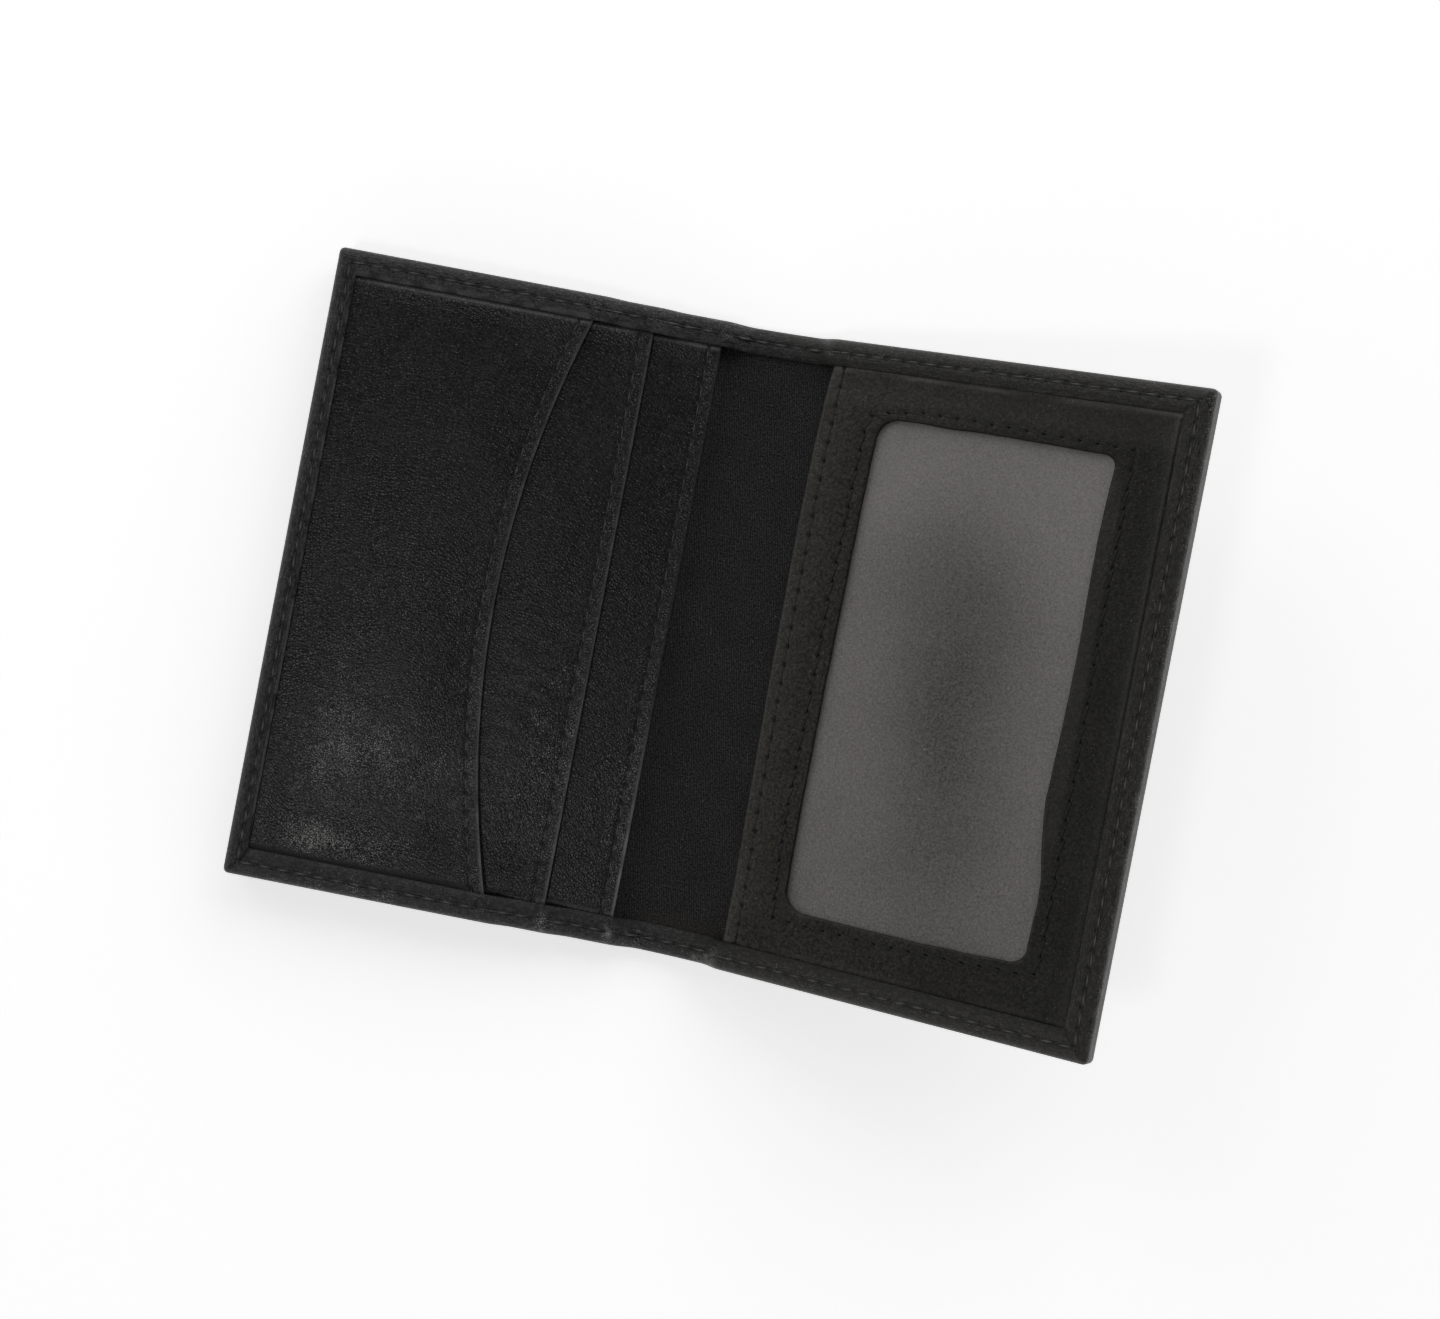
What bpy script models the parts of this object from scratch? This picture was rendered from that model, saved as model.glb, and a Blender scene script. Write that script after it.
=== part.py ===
"""Bifold card holder: a leather cover that folds along its spine, three card pockets on the
left panel and one pocket with a clear window on the right panel.

The frame is in metres. The origin is the centre of the left panel's underside, +X runs across
the fold towards the right panel, +Y along the spine and +Z up. The left panel lies flat and the
right one is partly raised. The spine is three narrow strips between four fold lines.
Within a panel, s is the distance from its fold line and n the height above its underside.
"""

import math

import bmesh
import bpy
from mathutils import Matrix, Vector

# Overall size, folded out flat
HEIGHT = 0.102
HALF_WIDTH = 0.0724
CORNER_RADIUS = 0.0015
EDGE_ROUND = 0.0003

# Fold
SPINE_STRIPS = 3
REST_FOLD = math.radians(24.0)
CLOSED_FOLD = math.radians(180.0)
PIVOT_HEIGHT = 0.0004
FACE_GAP = 0.00015
CLOSED_CLEARANCE = 0.00035

# Thickness of each layer
COVER_LEATHER = 0.0008
POCKET_LEATHER = 0.0006
BOARD = 0.0005
LINING = 0.0002
TONGUE = 0.0002
FILM = 0.00025
LAYER_GAP = 0.00025
SKIVE_GAP = 0.00015

# A bank card, and the play that it has in its slot
CARD_THICKNESS = 0.00076
CARD_PLAY = 0.00009

# Width of the turned-in hem on each side
HEM_LEFT = 0.0034
HEM_RIGHT = 0.0044
HEM_TOP = 0.0042
HEM_BOTTOM = 0.0046
HEM_SLOPE_RUN = 0.0025
MITRE_SLIT = 0.0003
MITRE_STOP = 0.0016

# Pocket lips, from the spine outwards
REAR_LIP_CLEARANCE = 0.0005
MIDDLE_LIP_STEP = 0.0111
FRONT_LIP_STEP = 0.01685
FRONT_LIP_SAGITTA = 0.0072
ID_LIP_CLEARANCE = 0.002
STRIP_UNDERLAP = 0.006
SKIVE_LENGTH = 0.004
BOARD_SETBACK = 0.003
LINING_RAMP = 0.0014

# Window of the right pocket, as margins to the lip, to the outer hem and to the end hems
WINDOW_LIP_MARGIN = 0.0091
WINDOW_OUTER_MARGIN = 0.0085
WINDOW_END_MARGIN = 0.0077
WINDOW_RADIUS = 0.003
FILM_MARGIN = 0.006

# Seams
STITCH_PITCH = 0.003
THREAD = 0.0004
THREAD_NECK = 0.4
THREAD_GAP = 0.00012
GROOVE_WIDTH = 0.0009
GROOVE_DEPTH = 0.0004
EDGE_SEAM_INSET = 0.0022
LIP_SEAM_INSET = 0.002
ID_LIP_SEAM_INSET = 0.0015
WINDOW_SEAM_INSET = 0.0021

# How far a cutter runs past what it cuts, and how many parts a rounding is made of
OVERSHOOT = 0.002
CORNER_STEPS = 4
EDGE_STEPS = 2
LIP_STEPS = 16

# Points nearer than this are one point
SAME_PLACE = 1e-6
WELD_DISTANCE = 1e-7

# Faces that turn by less than this are one face
FLAT_ANGLE = math.radians(0.5)

# Share of a strip's thickness that its lip is rounded by, above and below
LIP_ROUND_SHARE = 1 / 3

# Surface colours, linear RGB, with roughness
BLACK_LEATHER = ((0.014, 0.014, 0.014), 0.45)
POCKET_BLACK_LEATHER = ((0.013, 0.013, 0.013), 0.4)
BLACK_TWILL = ((0.011, 0.011, 0.011), 0.9)
GREY_BOARD = ((0.16, 0.13, 0.1), 0.9)
FROSTED_VINYL = ((0.09, 0.087, 0.08), 0.5)
BLACK_THREAD = ((0.01, 0.01, 0.01), 0.7)

# Levels of the layers above a panel's underside
CARD_ROOM = CARD_THICKNESS + CARD_PLAY
SPINE_LINING_LOW = COVER_LEATHER + LAYER_GAP
SPINE_LINING_TOP = SPINE_LINING_LOW + LINING
BOARD_LOW = COVER_LEATHER + LAYER_GAP
BOARD_TOP = BOARD_LOW + BOARD
LEFT_LINING_LOW = BOARD_TOP + LAYER_GAP
REAR_LOW = LEFT_LINING_LOW + LINING + CARD_ROOM
REAR_TOP = REAR_LOW + POCKET_LEATHER
MIDDLE_LOW = REAR_TOP + CARD_ROOM
MIDDLE_TOP = MIDDLE_LOW + POCKET_LEATHER
FRONT_LOW = MIDDLE_TOP + CARD_ROOM
FRONT_TOP = FRONT_LOW + POCKET_LEATHER
FILM_LOW = SPINE_LINING_TOP + CARD_ROOM
ID_FRAME_LOW = FILM_LOW + FILM + LAYER_GAP
ID_FRAME_TOP = ID_FRAME_LOW + POCKET_LEATHER


def hem_top_over(level):
    """Height of the hem's upper face where it lies on a layer whose upper face is at level."""
    return level + LAYER_GAP + COVER_LEATHER


LEFT_THICKNESS = hem_top_over(FRONT_TOP)
RIGHT_THICKNESS = hem_top_over(ID_FRAME_TOP)
SPINE_THICKNESS = hem_top_over(SPINE_LINING_TOP)

# Closed, the fold lines are the corners of half a regular polygon, as high as both panels
FOLD_LINES = SPINE_STRIPS + 1
CLOSED_STEP = CLOSED_FOLD / FOLD_LINES
REST_STEP = REST_FOLD / FOLD_LINES
CLOSED_RISE = LEFT_THICKNESS + RIGHT_THICKNESS - 2 * PIVOT_HEIGHT + CLOSED_CLEARANCE
STRIP_PITCH = CLOSED_RISE / sum(math.sin(k * CLOSED_STEP) for k in range(1, FOLD_LINES))
PANEL_WIDTH = HALF_WIDTH - STRIP_PITCH * SPINE_STRIPS / 2


def fold_reach(n):
    """How far a face at a fold line leans back at height n, to clear its neighbour when closed."""
    return FACE_GAP + max(0.0, n - PIVOT_HEIGHT) * math.tan(CLOSED_STEP / 2)


# Distances from the fold line
REAR_LIP = fold_reach(hem_top_over(REAR_TOP)) + LAYER_GAP + REAR_LIP_CLEARANCE
MIDDLE_LIP = REAR_LIP + MIDDLE_LIP_STEP
FRONT_LIP = MIDDLE_LIP + FRONT_LIP_STEP
ID_LIP = fold_reach(RIGHT_THICKNESS) + LAYER_GAP + ID_LIP_CLEARANCE
LAYER_END = PANEL_WIDTH - COVER_LEATHER - LAYER_GAP
LAYER_HALF_HEIGHT = HEIGHT / 2 - COVER_LEATHER - LAYER_GAP
OPENING_TOP = HEIGHT / 2 - HEM_TOP
OPENING_BOTTOM = HEM_BOTTOM - HEIGHT / 2

# The front lip is an arc, deepest at half height, that meets the top hem's edge
FRONT_LIP_RADIUS = (OPENING_TOP**2 + FRONT_LIP_SAGITTA**2) / (2 * FRONT_LIP_SAGITTA)


def front_lip_at(y, inset=0.0):
    """Distance of the front lip, or of a line inset from it, from the fold line at height y."""
    radius = FRONT_LIP_RADIUS + inset
    return FRONT_LIP - FRONT_LIP_RADIUS + math.sqrt(radius**2 - y**2)


# Hem steps: distance from the fold line, and the hem's upper face from there outwards
FRONT_HEM_STEP = front_lip_at(LAYER_HALF_HEIGHT) - LAYER_GAP
LEFT_HEM = (
    (REAR_LIP - LAYER_GAP, hem_top_over(REAR_TOP)),
    (MIDDLE_LIP - LAYER_GAP, hem_top_over(MIDDLE_TOP)),
    (FRONT_HEM_STEP, LEFT_THICKNESS),
)
RIGHT_HEM = ((ID_LIP - LAYER_GAP, RIGHT_THICKNESS),)


def clear_scene():
    """Removes whatever the file holds, so that the model starts empty."""
    for obj in list(bpy.data.objects):
        bpy.data.objects.remove(obj, do_unlink=True)


def new_collection(name):
    """A collection linked to the scene."""
    collection = bpy.data.collections.new(name)
    bpy.context.scene.collection.children.link(collection)
    return collection


def new_material(name, finish):
    """A Principled material of one colour and roughness."""
    colour, roughness = finish
    material = bpy.data.materials.new(name)
    material.use_nodes = True
    shader = material.node_tree.nodes["Principled BSDF"]
    shader.inputs["Base Color"].default_value = (*colour, 1.0)
    shader.inputs["Roughness"].default_value = roughness
    shader.inputs["Metallic"].default_value = 0.0
    return material


def flat_curve(name, outlines, thickness):
    """A filled 2D curve of one or more closed outlines, extruded to both sides."""
    curve = bpy.data.curves.new(name, "CURVE")
    curve.dimensions = "2D"
    curve.fill_mode = "BOTH"
    curve.extrude = thickness / 2
    for outline in outlines:
        spline = curve.splines.new("POLY")
        spline.points.add(len(outline) - 1)
        for point, (a, b) in zip(spline.points, outline):
            point.co = (a, b, 0.0, 1.0)
        spline.use_cyclic_u = True
    return curve


def solid_mesh(name, outlines, thickness, matrix):
    """The mesh of a flat curve with its caps welded on, placed by a matrix."""
    guide = bpy.data.objects.new(name, flat_curve(name, outlines, thickness))
    bpy.context.scene.collection.objects.link(guide)
    graph = bpy.context.evaluated_depsgraph_get()
    mesh = bpy.data.meshes.new_from_object(guide.evaluated_get(graph))
    curve = guide.data
    bpy.data.objects.remove(guide)
    bpy.data.curves.remove(curve)
    mesh.name = name
    form = bmesh.new()
    form.from_mesh(mesh)
    bmesh.ops.remove_doubles(form, verts=form.verts, dist=WELD_DISTANCE)
    bmesh.ops.transform(form, matrix=matrix, verts=form.verts)
    bmesh.ops.recalc_face_normals(form, faces=form.faces)
    bmesh.ops.dissolve_limit(form, angle_limit=FLAT_ANGLE, verts=form.verts, edges=form.edges)
    form.to_mesh(mesh)
    form.free()
    return mesh


def lengthwise_mesh(name, profile, y_low, y_high):
    """A profile of (x, z) points run along Y from y_low to y_high."""
    stand = Matrix.Translation((0, (y_low + y_high) / 2, 0)) @ Matrix.Rotation(math.pi / 2, 4, "X")
    return solid_mesh(name, [profile], y_high - y_low, stand)


def plate_mesh(name, outlines, z_low, z_high):
    """Outlines of (x, y) points made solid from z_low to z_high."""
    return solid_mesh(name, outlines, z_high - z_low, Matrix.Translation((0, 0, (z_low + z_high) / 2)))


def rounded_rectangle(x_low, x_high, y_low, y_high, radius):
    """Points of a rectangle whose corners are arcs, anticlockwise."""
    points = []
    corners = (
        (x_high - radius, y_high - radius, 0.0),
        (x_low + radius, y_high - radius, math.pi / 2),
        (x_low + radius, y_low + radius, math.pi),
        (x_high - radius, y_low + radius, 3 * math.pi / 2),
    )
    for x, y, start in corners:
        for step in range(CORNER_STEPS + 1):
            angle = start + step * math.pi / 2 / CORNER_STEPS
            points.append((x + radius * math.cos(angle), y + radius * math.sin(angle)))
    return points


class Panel:
    """A body of the holder: where its pieces stand, and which way s runs from its fold line.

    parent is the empty on the fold line, or None for the left panel, whose frame is the part's.
    """

    def __init__(self, parts, cutters, parent=None, side=1, fold_line=0.0, base=0.0):
        self.parts = parts
        self.cutters = cutters
        self.parent = parent
        self.side = side
        self.fold_line = fold_line
        self.base = base

    def x(self, s):
        """X of a distance from the fold line."""
        return self.fold_line + self.side * s

    def z(self, n):
        """Z of a height above the underside."""
        return self.base + n

    def outline(self, points):
        """Points (s, y) as (x, y)."""
        return [(self.x(s), y) for s, y in points]

    def add(self, name, mesh, material):
        """An object of the part, which follows the panel's fold line."""
        mesh.materials.append(material)
        obj = bpy.data.objects.new(name, mesh)
        obj.parent = self.parent
        self.parts.objects.link(obj)
        return obj

    def lengthwise(self, name, profile, y_low, y_high, material):
        """A piece with one profile of (s, n) points along the spine."""
        points = [(self.x(s), self.z(n)) for s, n in profile]
        return self.add(name, lengthwise_mesh(name, points, y_low, y_high), material)

    def plate(self, name, outlines, n_low, n_high, material):
        """A flat piece with outlines of (s, y) points."""
        placed = [self.outline(points) for points in outlines]
        return self.add(name, plate_mesh(name, placed, self.z(n_low), self.z(n_high)), material)

    def cut(self, obj, name, mesh):
        """Takes a hidden cutter's mesh out of a piece."""
        cutter = bpy.data.objects.new(name, mesh)
        cutter.parent = self.parent
        cutter.hide_render = True
        cutter.display_type = "WIRE"
        self.cutters.objects.link(cutter)
        boolean = obj.modifiers.new(name, "BOOLEAN")
        boolean.operation = "DIFFERENCE"
        boolean.solver = "EXACT"
        boolean.object = cutter

    def cut_lengthwise(self, obj, name, profile, y_low, y_high):
        """Cuts a profile of (s, n) points along the spine."""
        points = [(self.x(s), self.z(n)) for s, n in profile]
        self.cut(obj, name, lengthwise_mesh(name, points, y_low, y_high))

    def cut_plate(self, obj, name, outlines, n_low, n_high):
        """Cuts a flat shape with outlines of (s, y) points."""
        placed = [self.outline(points) for points in outlines]
        self.cut(obj, name, plate_mesh(name, placed, self.z(n_low), self.z(n_high)))

    def thread(self, name, stations, material, closed=False):
        """One seam's thread through (s, y, n) points, thick at every second one."""
        curve = bpy.data.curves.new(name, "CURVE")
        curve.dimensions = "3D"
        curve.bevel_depth = THREAD / 2
        curve.bevel_resolution = 0
        curve.use_fill_caps = True
        spline = curve.splines.new("POLY")
        spline.points.add(len(stations) - 1)
        for number, (point, (s, y, n)) in enumerate(zip(spline.points, stations)):
            point.co = (self.x(s), y, self.z(n), 1.0)
            point.radius = 1.0 if number % 2 else THREAD_NECK
        spline.use_cyclic_u = closed
        curve.materials.append(material)
        obj = bpy.data.objects.new(name, curve)
        obj.parent = self.parent
        self.parts.objects.link(obj)
        return obj


def rectangle(a_low, a_high, b_low, b_high):
    """Corners of a rectangle, anticlockwise."""
    return [(a_low, b_low), (a_high, b_low), (a_high, b_high), (a_low, b_high)]


def hem_line(steps, drop):
    """Points (s, n) along a panel's hem, lowered by drop, from the fold line to the last step."""
    level = SPINE_THICKNESS - drop
    points = []
    for s, top in steps:
        foot = max(s - HEM_SLOPE_RUN, fold_reach(SPINE_THICKNESS))
        points += [(foot, level), (s, top - drop)]
        level = top - drop
    return points


def hem_height(steps, s):
    """Height of the hem's upper face at a distance from the fold line."""
    line = hem_line(steps, 0.0)
    if s >= line[-1][0]:
        return line[-1][1]
    for (s_a, n_a), (s_b, n_b) in zip(line, line[1:]):
        if s <= s_b:
            return n_a + (n_b - n_a) * max(0.0, s - s_a) / (s_b - s_a)
    return line[-1][1]


def bevel_edges(obj, chosen, radius, steps):
    """Rounds the edges of an object's mesh that chosen(a, b) picks by their two ends."""
    form = bmesh.new()
    form.from_mesh(obj.data)
    edges = [edge for edge in form.edges if chosen(*(vertex.co for vertex in edge.verts))]
    bmesh.ops.bevel(
        form, geom=edges, offset=radius, segments=steps, profile=0.5, affect="EDGES", clamp_overlap=True
    )
    form.to_mesh(obj.data)
    form.free()


def same(a, b):
    """Whether two lengths are one."""
    return abs(a - b) < SAME_PLACE


def round_cover_edges(cover, panel):
    """Rounds a cover's outer corners and its outline, and leaves its fold side sharp."""
    x_end = panel.x(PANEL_WIDTH)
    fold_side = fold_reach(SPINE_THICKNESS) + SAME_PLACE
    half = HEIGHT / 2

    def corner(a, b):
        """An upright edge at an outer corner."""
        return same(a.x, x_end) and same(b.x, x_end) and same(a.y, b.y) and same(abs(a.y), half)

    def outline(a, b):
        """An edge round the underside or the hem, but not on the fold side."""
        at_fold = max(abs(a.x - panel.fold_line), abs(b.x - panel.fold_line)) < fold_side
        on_end = same(a.y, b.y) and same(abs(a.y), half)
        beside_corner = same(a.x, b.x) and on_end
        on_side = same(a.x, x_end) and same(b.x, x_end) and same(a.z, b.z)
        near_end = min(abs(a.y), abs(b.y)) > half - CORNER_RADIUS - SAME_PLACE
        in_corner = same(a.z, b.z) and near_end and a.y * b.y > 0.0
        return not at_fold and not beside_corner and (on_end or on_side or in_corner)

    bevel_edges(cover, corner, CORNER_RADIUS, CORNER_STEPS)
    bevel_edges(cover, outline, EDGE_ROUND, EDGE_STEPS)


def round_strip_edges(strip):
    """Rounds a spine strip's edges at both ends of the spine."""

    def outline(a, b):
        """An edge along the strip's width."""
        return same(a.y, b.y) and same(abs(a.y), HEIGHT / 2) and same(a.z, b.z)

    bevel_edges(strip, outline, EDGE_ROUND, EDGE_STEPS)


def stitch_stops(length):
    """Distances of a seam's points: a hole, the middle of a stitch, the next hole, and so on."""
    count = max(1, round(length / STITCH_PITCH))
    return [length * k / (2 * count) for k in range(2 * count + 1)]


def seam_height(surface):
    """Height of a thread's centre in the groove of a surface."""
    return surface - GROOVE_DEPTH + THREAD / 2 + THREAD_GAP


def make_cover(panel, name, hem, hem_width, materials):
    """A panel's cover: the outer leather, turned in round three sides as a hem.

    Returns the object. The hem steps down towards the spine with the layers under it.
    """
    end = PANEL_WIDTH
    line = hem_line(hem, 0.0)
    thickness = line[-1][1]
    outside = [(FACE_GAP, 0.0), (end, 0.0), (end, thickness), *reversed(line)]
    if not same(line[0][0], fold_reach(SPINE_THICKNESS)):
        outside.append((fold_reach(SPINE_THICKNESS), SPINE_THICKNESS))
    outside.append((FACE_GAP, PIVOT_HEIGHT))
    cover = panel.lengthwise(name, outside, -HEIGHT / 2, HEIGHT / 2, materials["leather"])
    round_cover_edges(cover, panel)

    inner_end = end - COVER_LEATHER
    cavity = [(-OVERSHOOT, COVER_LEATHER), (inner_end, COVER_LEATHER)]
    cavity += [(inner_end, thickness - COVER_LEATHER), *reversed(hem_line(hem, COVER_LEATHER))]
    cavity.append((-OVERSHOOT, SPINE_THICKNESS - COVER_LEATHER))
    wall = HEIGHT / 2 - COVER_LEATHER
    panel.cut_lengthwise(cover, name + "_cavity", cavity, -wall, wall)

    opening = rectangle(-OVERSHOOT, end - hem_width, OPENING_BOTTOM, OPENING_TOP)
    panel.cut_plate(cover, name + "_opening", [opening], SPINE_THICKNESS / 2, thickness + OVERSHOOT)
    cut_mitre(panel, cover, "top", (end - hem_width, OPENING_TOP), (end, HEIGHT / 2), thickness)
    cut_mitre(panel, cover, "bottom", (end - hem_width, OPENING_BOTTOM), (end, -HEIGHT / 2), thickness)
    return cover


def cut_mitre(panel, cover, corner, inner, outer, thickness):
    """Slits the hem from its inner corner towards the cover's outer corner, where two hems meet."""
    inner, outer = Vector(inner), Vector(outer)
    along = (outer - inner).normalized()
    across = Vector((-along.y, along.x)) * MITRE_SLIT / 2
    start = inner - along * OVERSHOOT
    stop = outer - along * MITRE_STOP
    slit = [tuple(start + across), tuple(start - across), tuple(stop - across), tuple(stop + across)]
    low = thickness - COVER_LEATHER - LAYER_GAP / 2
    panel.cut_plate(cover, f"{cover.name}_mitre_{corner}", [slit], low, thickness + OVERSHOOT)


def cut_edge_groove(panel, cover, thickness, hem):
    """Sinks the groove of the edge seam into the hem, along its three sides."""
    band = GROOVE_WIDTH / 2
    seam_end = PANEL_WIDTH - EDGE_SEAM_INSET
    start = hem[0][0]
    floor = [point for point in hem_line(hem, GROOVE_DEPTH) if point[0] >= start]
    profile = [*floor, (seam_end + band, thickness - GROOVE_DEPTH)]
    roof = thickness + OVERSHOOT
    profile += [(seam_end + band, roof), (start, roof)]
    for end, y in (("top", HEIGHT / 2 - EDGE_SEAM_INSET), ("bottom", EDGE_SEAM_INSET - HEIGHT / 2)):
        panel.cut_lengthwise(cover, f"{cover.name}_groove_{end}", profile, y - band, y + band)
    side = rectangle(
        seam_end - band, seam_end + band, EDGE_SEAM_INSET - HEIGHT / 2, HEIGHT / 2 - EDGE_SEAM_INSET
    )
    panel.cut_plate(cover, cover.name + "_groove_side", [side], thickness - GROOVE_DEPTH, roof)


def edge_stations(thickness, hem):
    """Points of the edge seam's thread, from the spine along the top, down the side and back."""
    seam_end = PANEL_WIDTH - EDGE_SEAM_INSET
    half = HEIGHT / 2 - EDGE_SEAM_INSET
    start = hem[0][0] + THREAD
    run = seam_end - start
    along = [start + stop for stop in stitch_stops(run)]
    top = [(s, half, seam_height(hem_height(hem, s))) for s in along]
    side = [(seam_end, half - stop, seam_height(thickness)) for stop in stitch_stops(2 * half)]
    bottom = [(s, -half, seam_height(hem_height(hem, s))) for s in reversed(along)]
    return top + side[1:-1] + bottom


def make_left_lining(panel, materials):
    """The lining under the card pockets: it steps up from the spine onto the board."""
    low, high = SPINE_LINING_LOW, LEFT_LINING_LOW
    foot = BOARD_SETBACK - LAYER_GAP - LINING_RAMP
    head = BOARD_SETBACK - LAYER_GAP
    under = [(fold_reach(low), low), (foot, low), (head, high), (LAYER_END, high)]
    over = [(s, n + LINING) for s, n in reversed(under[1:])]
    over.append((fold_reach(low + LINING), low + LINING))
    panel.lengthwise("left_lining", under + over, -LAYER_HALF_HEIGHT, LAYER_HALF_HEIGHT, materials["twill"])


def make_t_pocket(panel, name, lip, far_end, level, materials):
    """A pocket of a leather strip that shows and a fabric tongue that runs under the next pocket.

    The strip's far end is skived from below, and the tongue lies in that step.
    """
    half = LAYER_HALF_HEIGHT
    top = level + POCKET_LEATHER
    skive = level + TONGUE + SKIVE_GAP
    seat = far_end - SKIVE_LENGTH
    round_off = POCKET_LEATHER * LIP_ROUND_SHARE
    profile = [(lip + round_off, level), (seat, level), (seat, skive), (far_end, skive), (far_end, top)]
    profile += [(lip + round_off, top), (lip, top - round_off), (lip, level + round_off)]
    strip = panel.lengthwise(name + "_strip", profile, -half, half, materials["pocket_leather"])
    tongue = rectangle(seat + LAYER_GAP, LAYER_END, -half, half)
    panel.plate(name + "_tongue", [tongue], level, level + TONGUE, materials["twill"])
    return strip


def make_straight_seam(panel, obj, name, s, level, materials):
    """A straight seam along a lip: its groove in the piece, and its thread."""
    low = OPENING_BOTTOM + LAYER_GAP
    high = OPENING_TOP - LAYER_GAP
    band = rectangle(s - GROOVE_WIDTH / 2, s + GROOVE_WIDTH / 2, low, high)
    panel.cut_plate(obj, name + "_groove", [band], level - GROOVE_DEPTH, level + OVERSHOOT)
    first = low + THREAD
    stations = [(s, first + stop, seam_height(level)) for stop in stitch_stops(high - THREAD - first)]
    panel.thread(name, stations, materials["thread"])


def make_front_pocket(panel, materials):
    """The front pocket: one leather piece with a curved lip, and its seam."""
    half = LAYER_HALF_HEIGHT
    heights = [half - 2 * half * step / LIP_STEPS for step in range(LIP_STEPS + 1)]
    lip = [(front_lip_at(y), y) for y in heights]
    outline = [(LAYER_END, half), *lip, (LAYER_END, -half)]
    pocket = panel.plate("front_pocket", [outline], FRONT_LOW, FRONT_TOP, materials["pocket_leather"])

    inset = LIP_SEAM_INSET
    low = OPENING_BOTTOM + LAYER_GAP
    high = OPENING_TOP - LAYER_GAP
    band = GROOVE_WIDTH / 2
    rows = [high - (high - low) * step / LIP_STEPS for step in range(LIP_STEPS + 1)]
    groove = [(front_lip_at(y, inset - band), y) for y in rows]
    groove += [(front_lip_at(y, inset + band), y) for y in reversed(rows)]
    panel.cut_plate(pocket, "front_lip_groove", [groove], FRONT_TOP - GROOVE_DEPTH, FRONT_TOP + OVERSHOOT)
    first = low + THREAD
    stops = [first + stop for stop in stitch_stops(high - THREAD - first)]
    stations = [(front_lip_at(y, inset), y, seam_height(FRONT_TOP)) for y in stops]
    panel.thread("front_lip_stitches", stations, materials["thread"])


def make_left_panel(panel, materials):
    """The left panel: cover, board, lining and three card pockets."""
    cover = make_cover(panel, "left_cover", LEFT_HEM, HEM_LEFT, materials)
    cut_edge_groove(panel, cover, LEFT_THICKNESS, LEFT_HEM)
    panel.thread("left_edge_stitches", edge_stations(LEFT_THICKNESS, LEFT_HEM), materials["thread"])

    half = LAYER_HALF_HEIGHT
    board = rectangle(BOARD_SETBACK, LAYER_END, -half, half)
    panel.plate("left_stiffener", [board], BOARD_LOW, BOARD_TOP, materials["board"])
    make_left_lining(panel, materials)

    pockets = (
        ("rear", REAR_LIP, MIDDLE_LIP + STRIP_UNDERLAP, REAR_LOW),
        ("middle", MIDDLE_LIP, FRONT_LIP + STRIP_UNDERLAP, MIDDLE_LOW),
    )
    for name, lip, far_end, level in pockets:
        strip = make_t_pocket(panel, name + "_pocket", lip, far_end, level, materials)
        seam = lip + LIP_SEAM_INSET
        top = level + POCKET_LEATHER
        make_straight_seam(panel, strip, name + "_lip_stitches", seam, top, materials)
    make_front_pocket(panel, materials)


def make_right_panel(panel, materials):
    """The right panel: cover, lining, window film and the leather frame round the window."""
    cover = make_cover(panel, "right_cover", RIGHT_HEM, HEM_RIGHT, materials)
    cut_edge_groove(panel, cover, RIGHT_THICKNESS, RIGHT_HEM)
    panel.thread("right_edge_stitches", edge_stations(RIGHT_THICKNESS, RIGHT_HEM), materials["thread"])

    half = LAYER_HALF_HEIGHT
    low, top = SPINE_LINING_LOW, SPINE_LINING_TOP
    lining = [(fold_reach(low), low), (LAYER_END, low), (LAYER_END, top), (fold_reach(top), top)]
    panel.lengthwise("right_lining", lining, -half, half, materials["twill"])

    s_low = ID_LIP + WINDOW_LIP_MARGIN
    s_high = PANEL_WIDTH - HEM_RIGHT - WINDOW_OUTER_MARGIN
    y_low = OPENING_BOTTOM + WINDOW_END_MARGIN
    y_high = OPENING_TOP - WINDOW_END_MARGIN
    margin = FILM_MARGIN
    film = rectangle(s_low - margin, s_high + margin, y_low - margin, y_high + margin)
    panel.plate("id_window_film", [film], FILM_LOW, FILM_LOW + FILM, materials["film"])

    sheet = rectangle(ID_LIP, LAYER_END, -half, half)
    window = rounded_rectangle(s_low, s_high, y_low, y_high, WINDOW_RADIUS)
    frame = panel.plate(
        "id_pocket_frame", [sheet, window], ID_FRAME_LOW, ID_FRAME_TOP, materials["pocket_leather"]
    )
    lip_seam = ID_LIP + ID_LIP_SEAM_INSET
    make_straight_seam(panel, frame, "id_lip_stitches", lip_seam, ID_FRAME_TOP, materials)
    make_window_seam(panel, frame, (s_low, s_high, y_low, y_high), materials)


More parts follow.
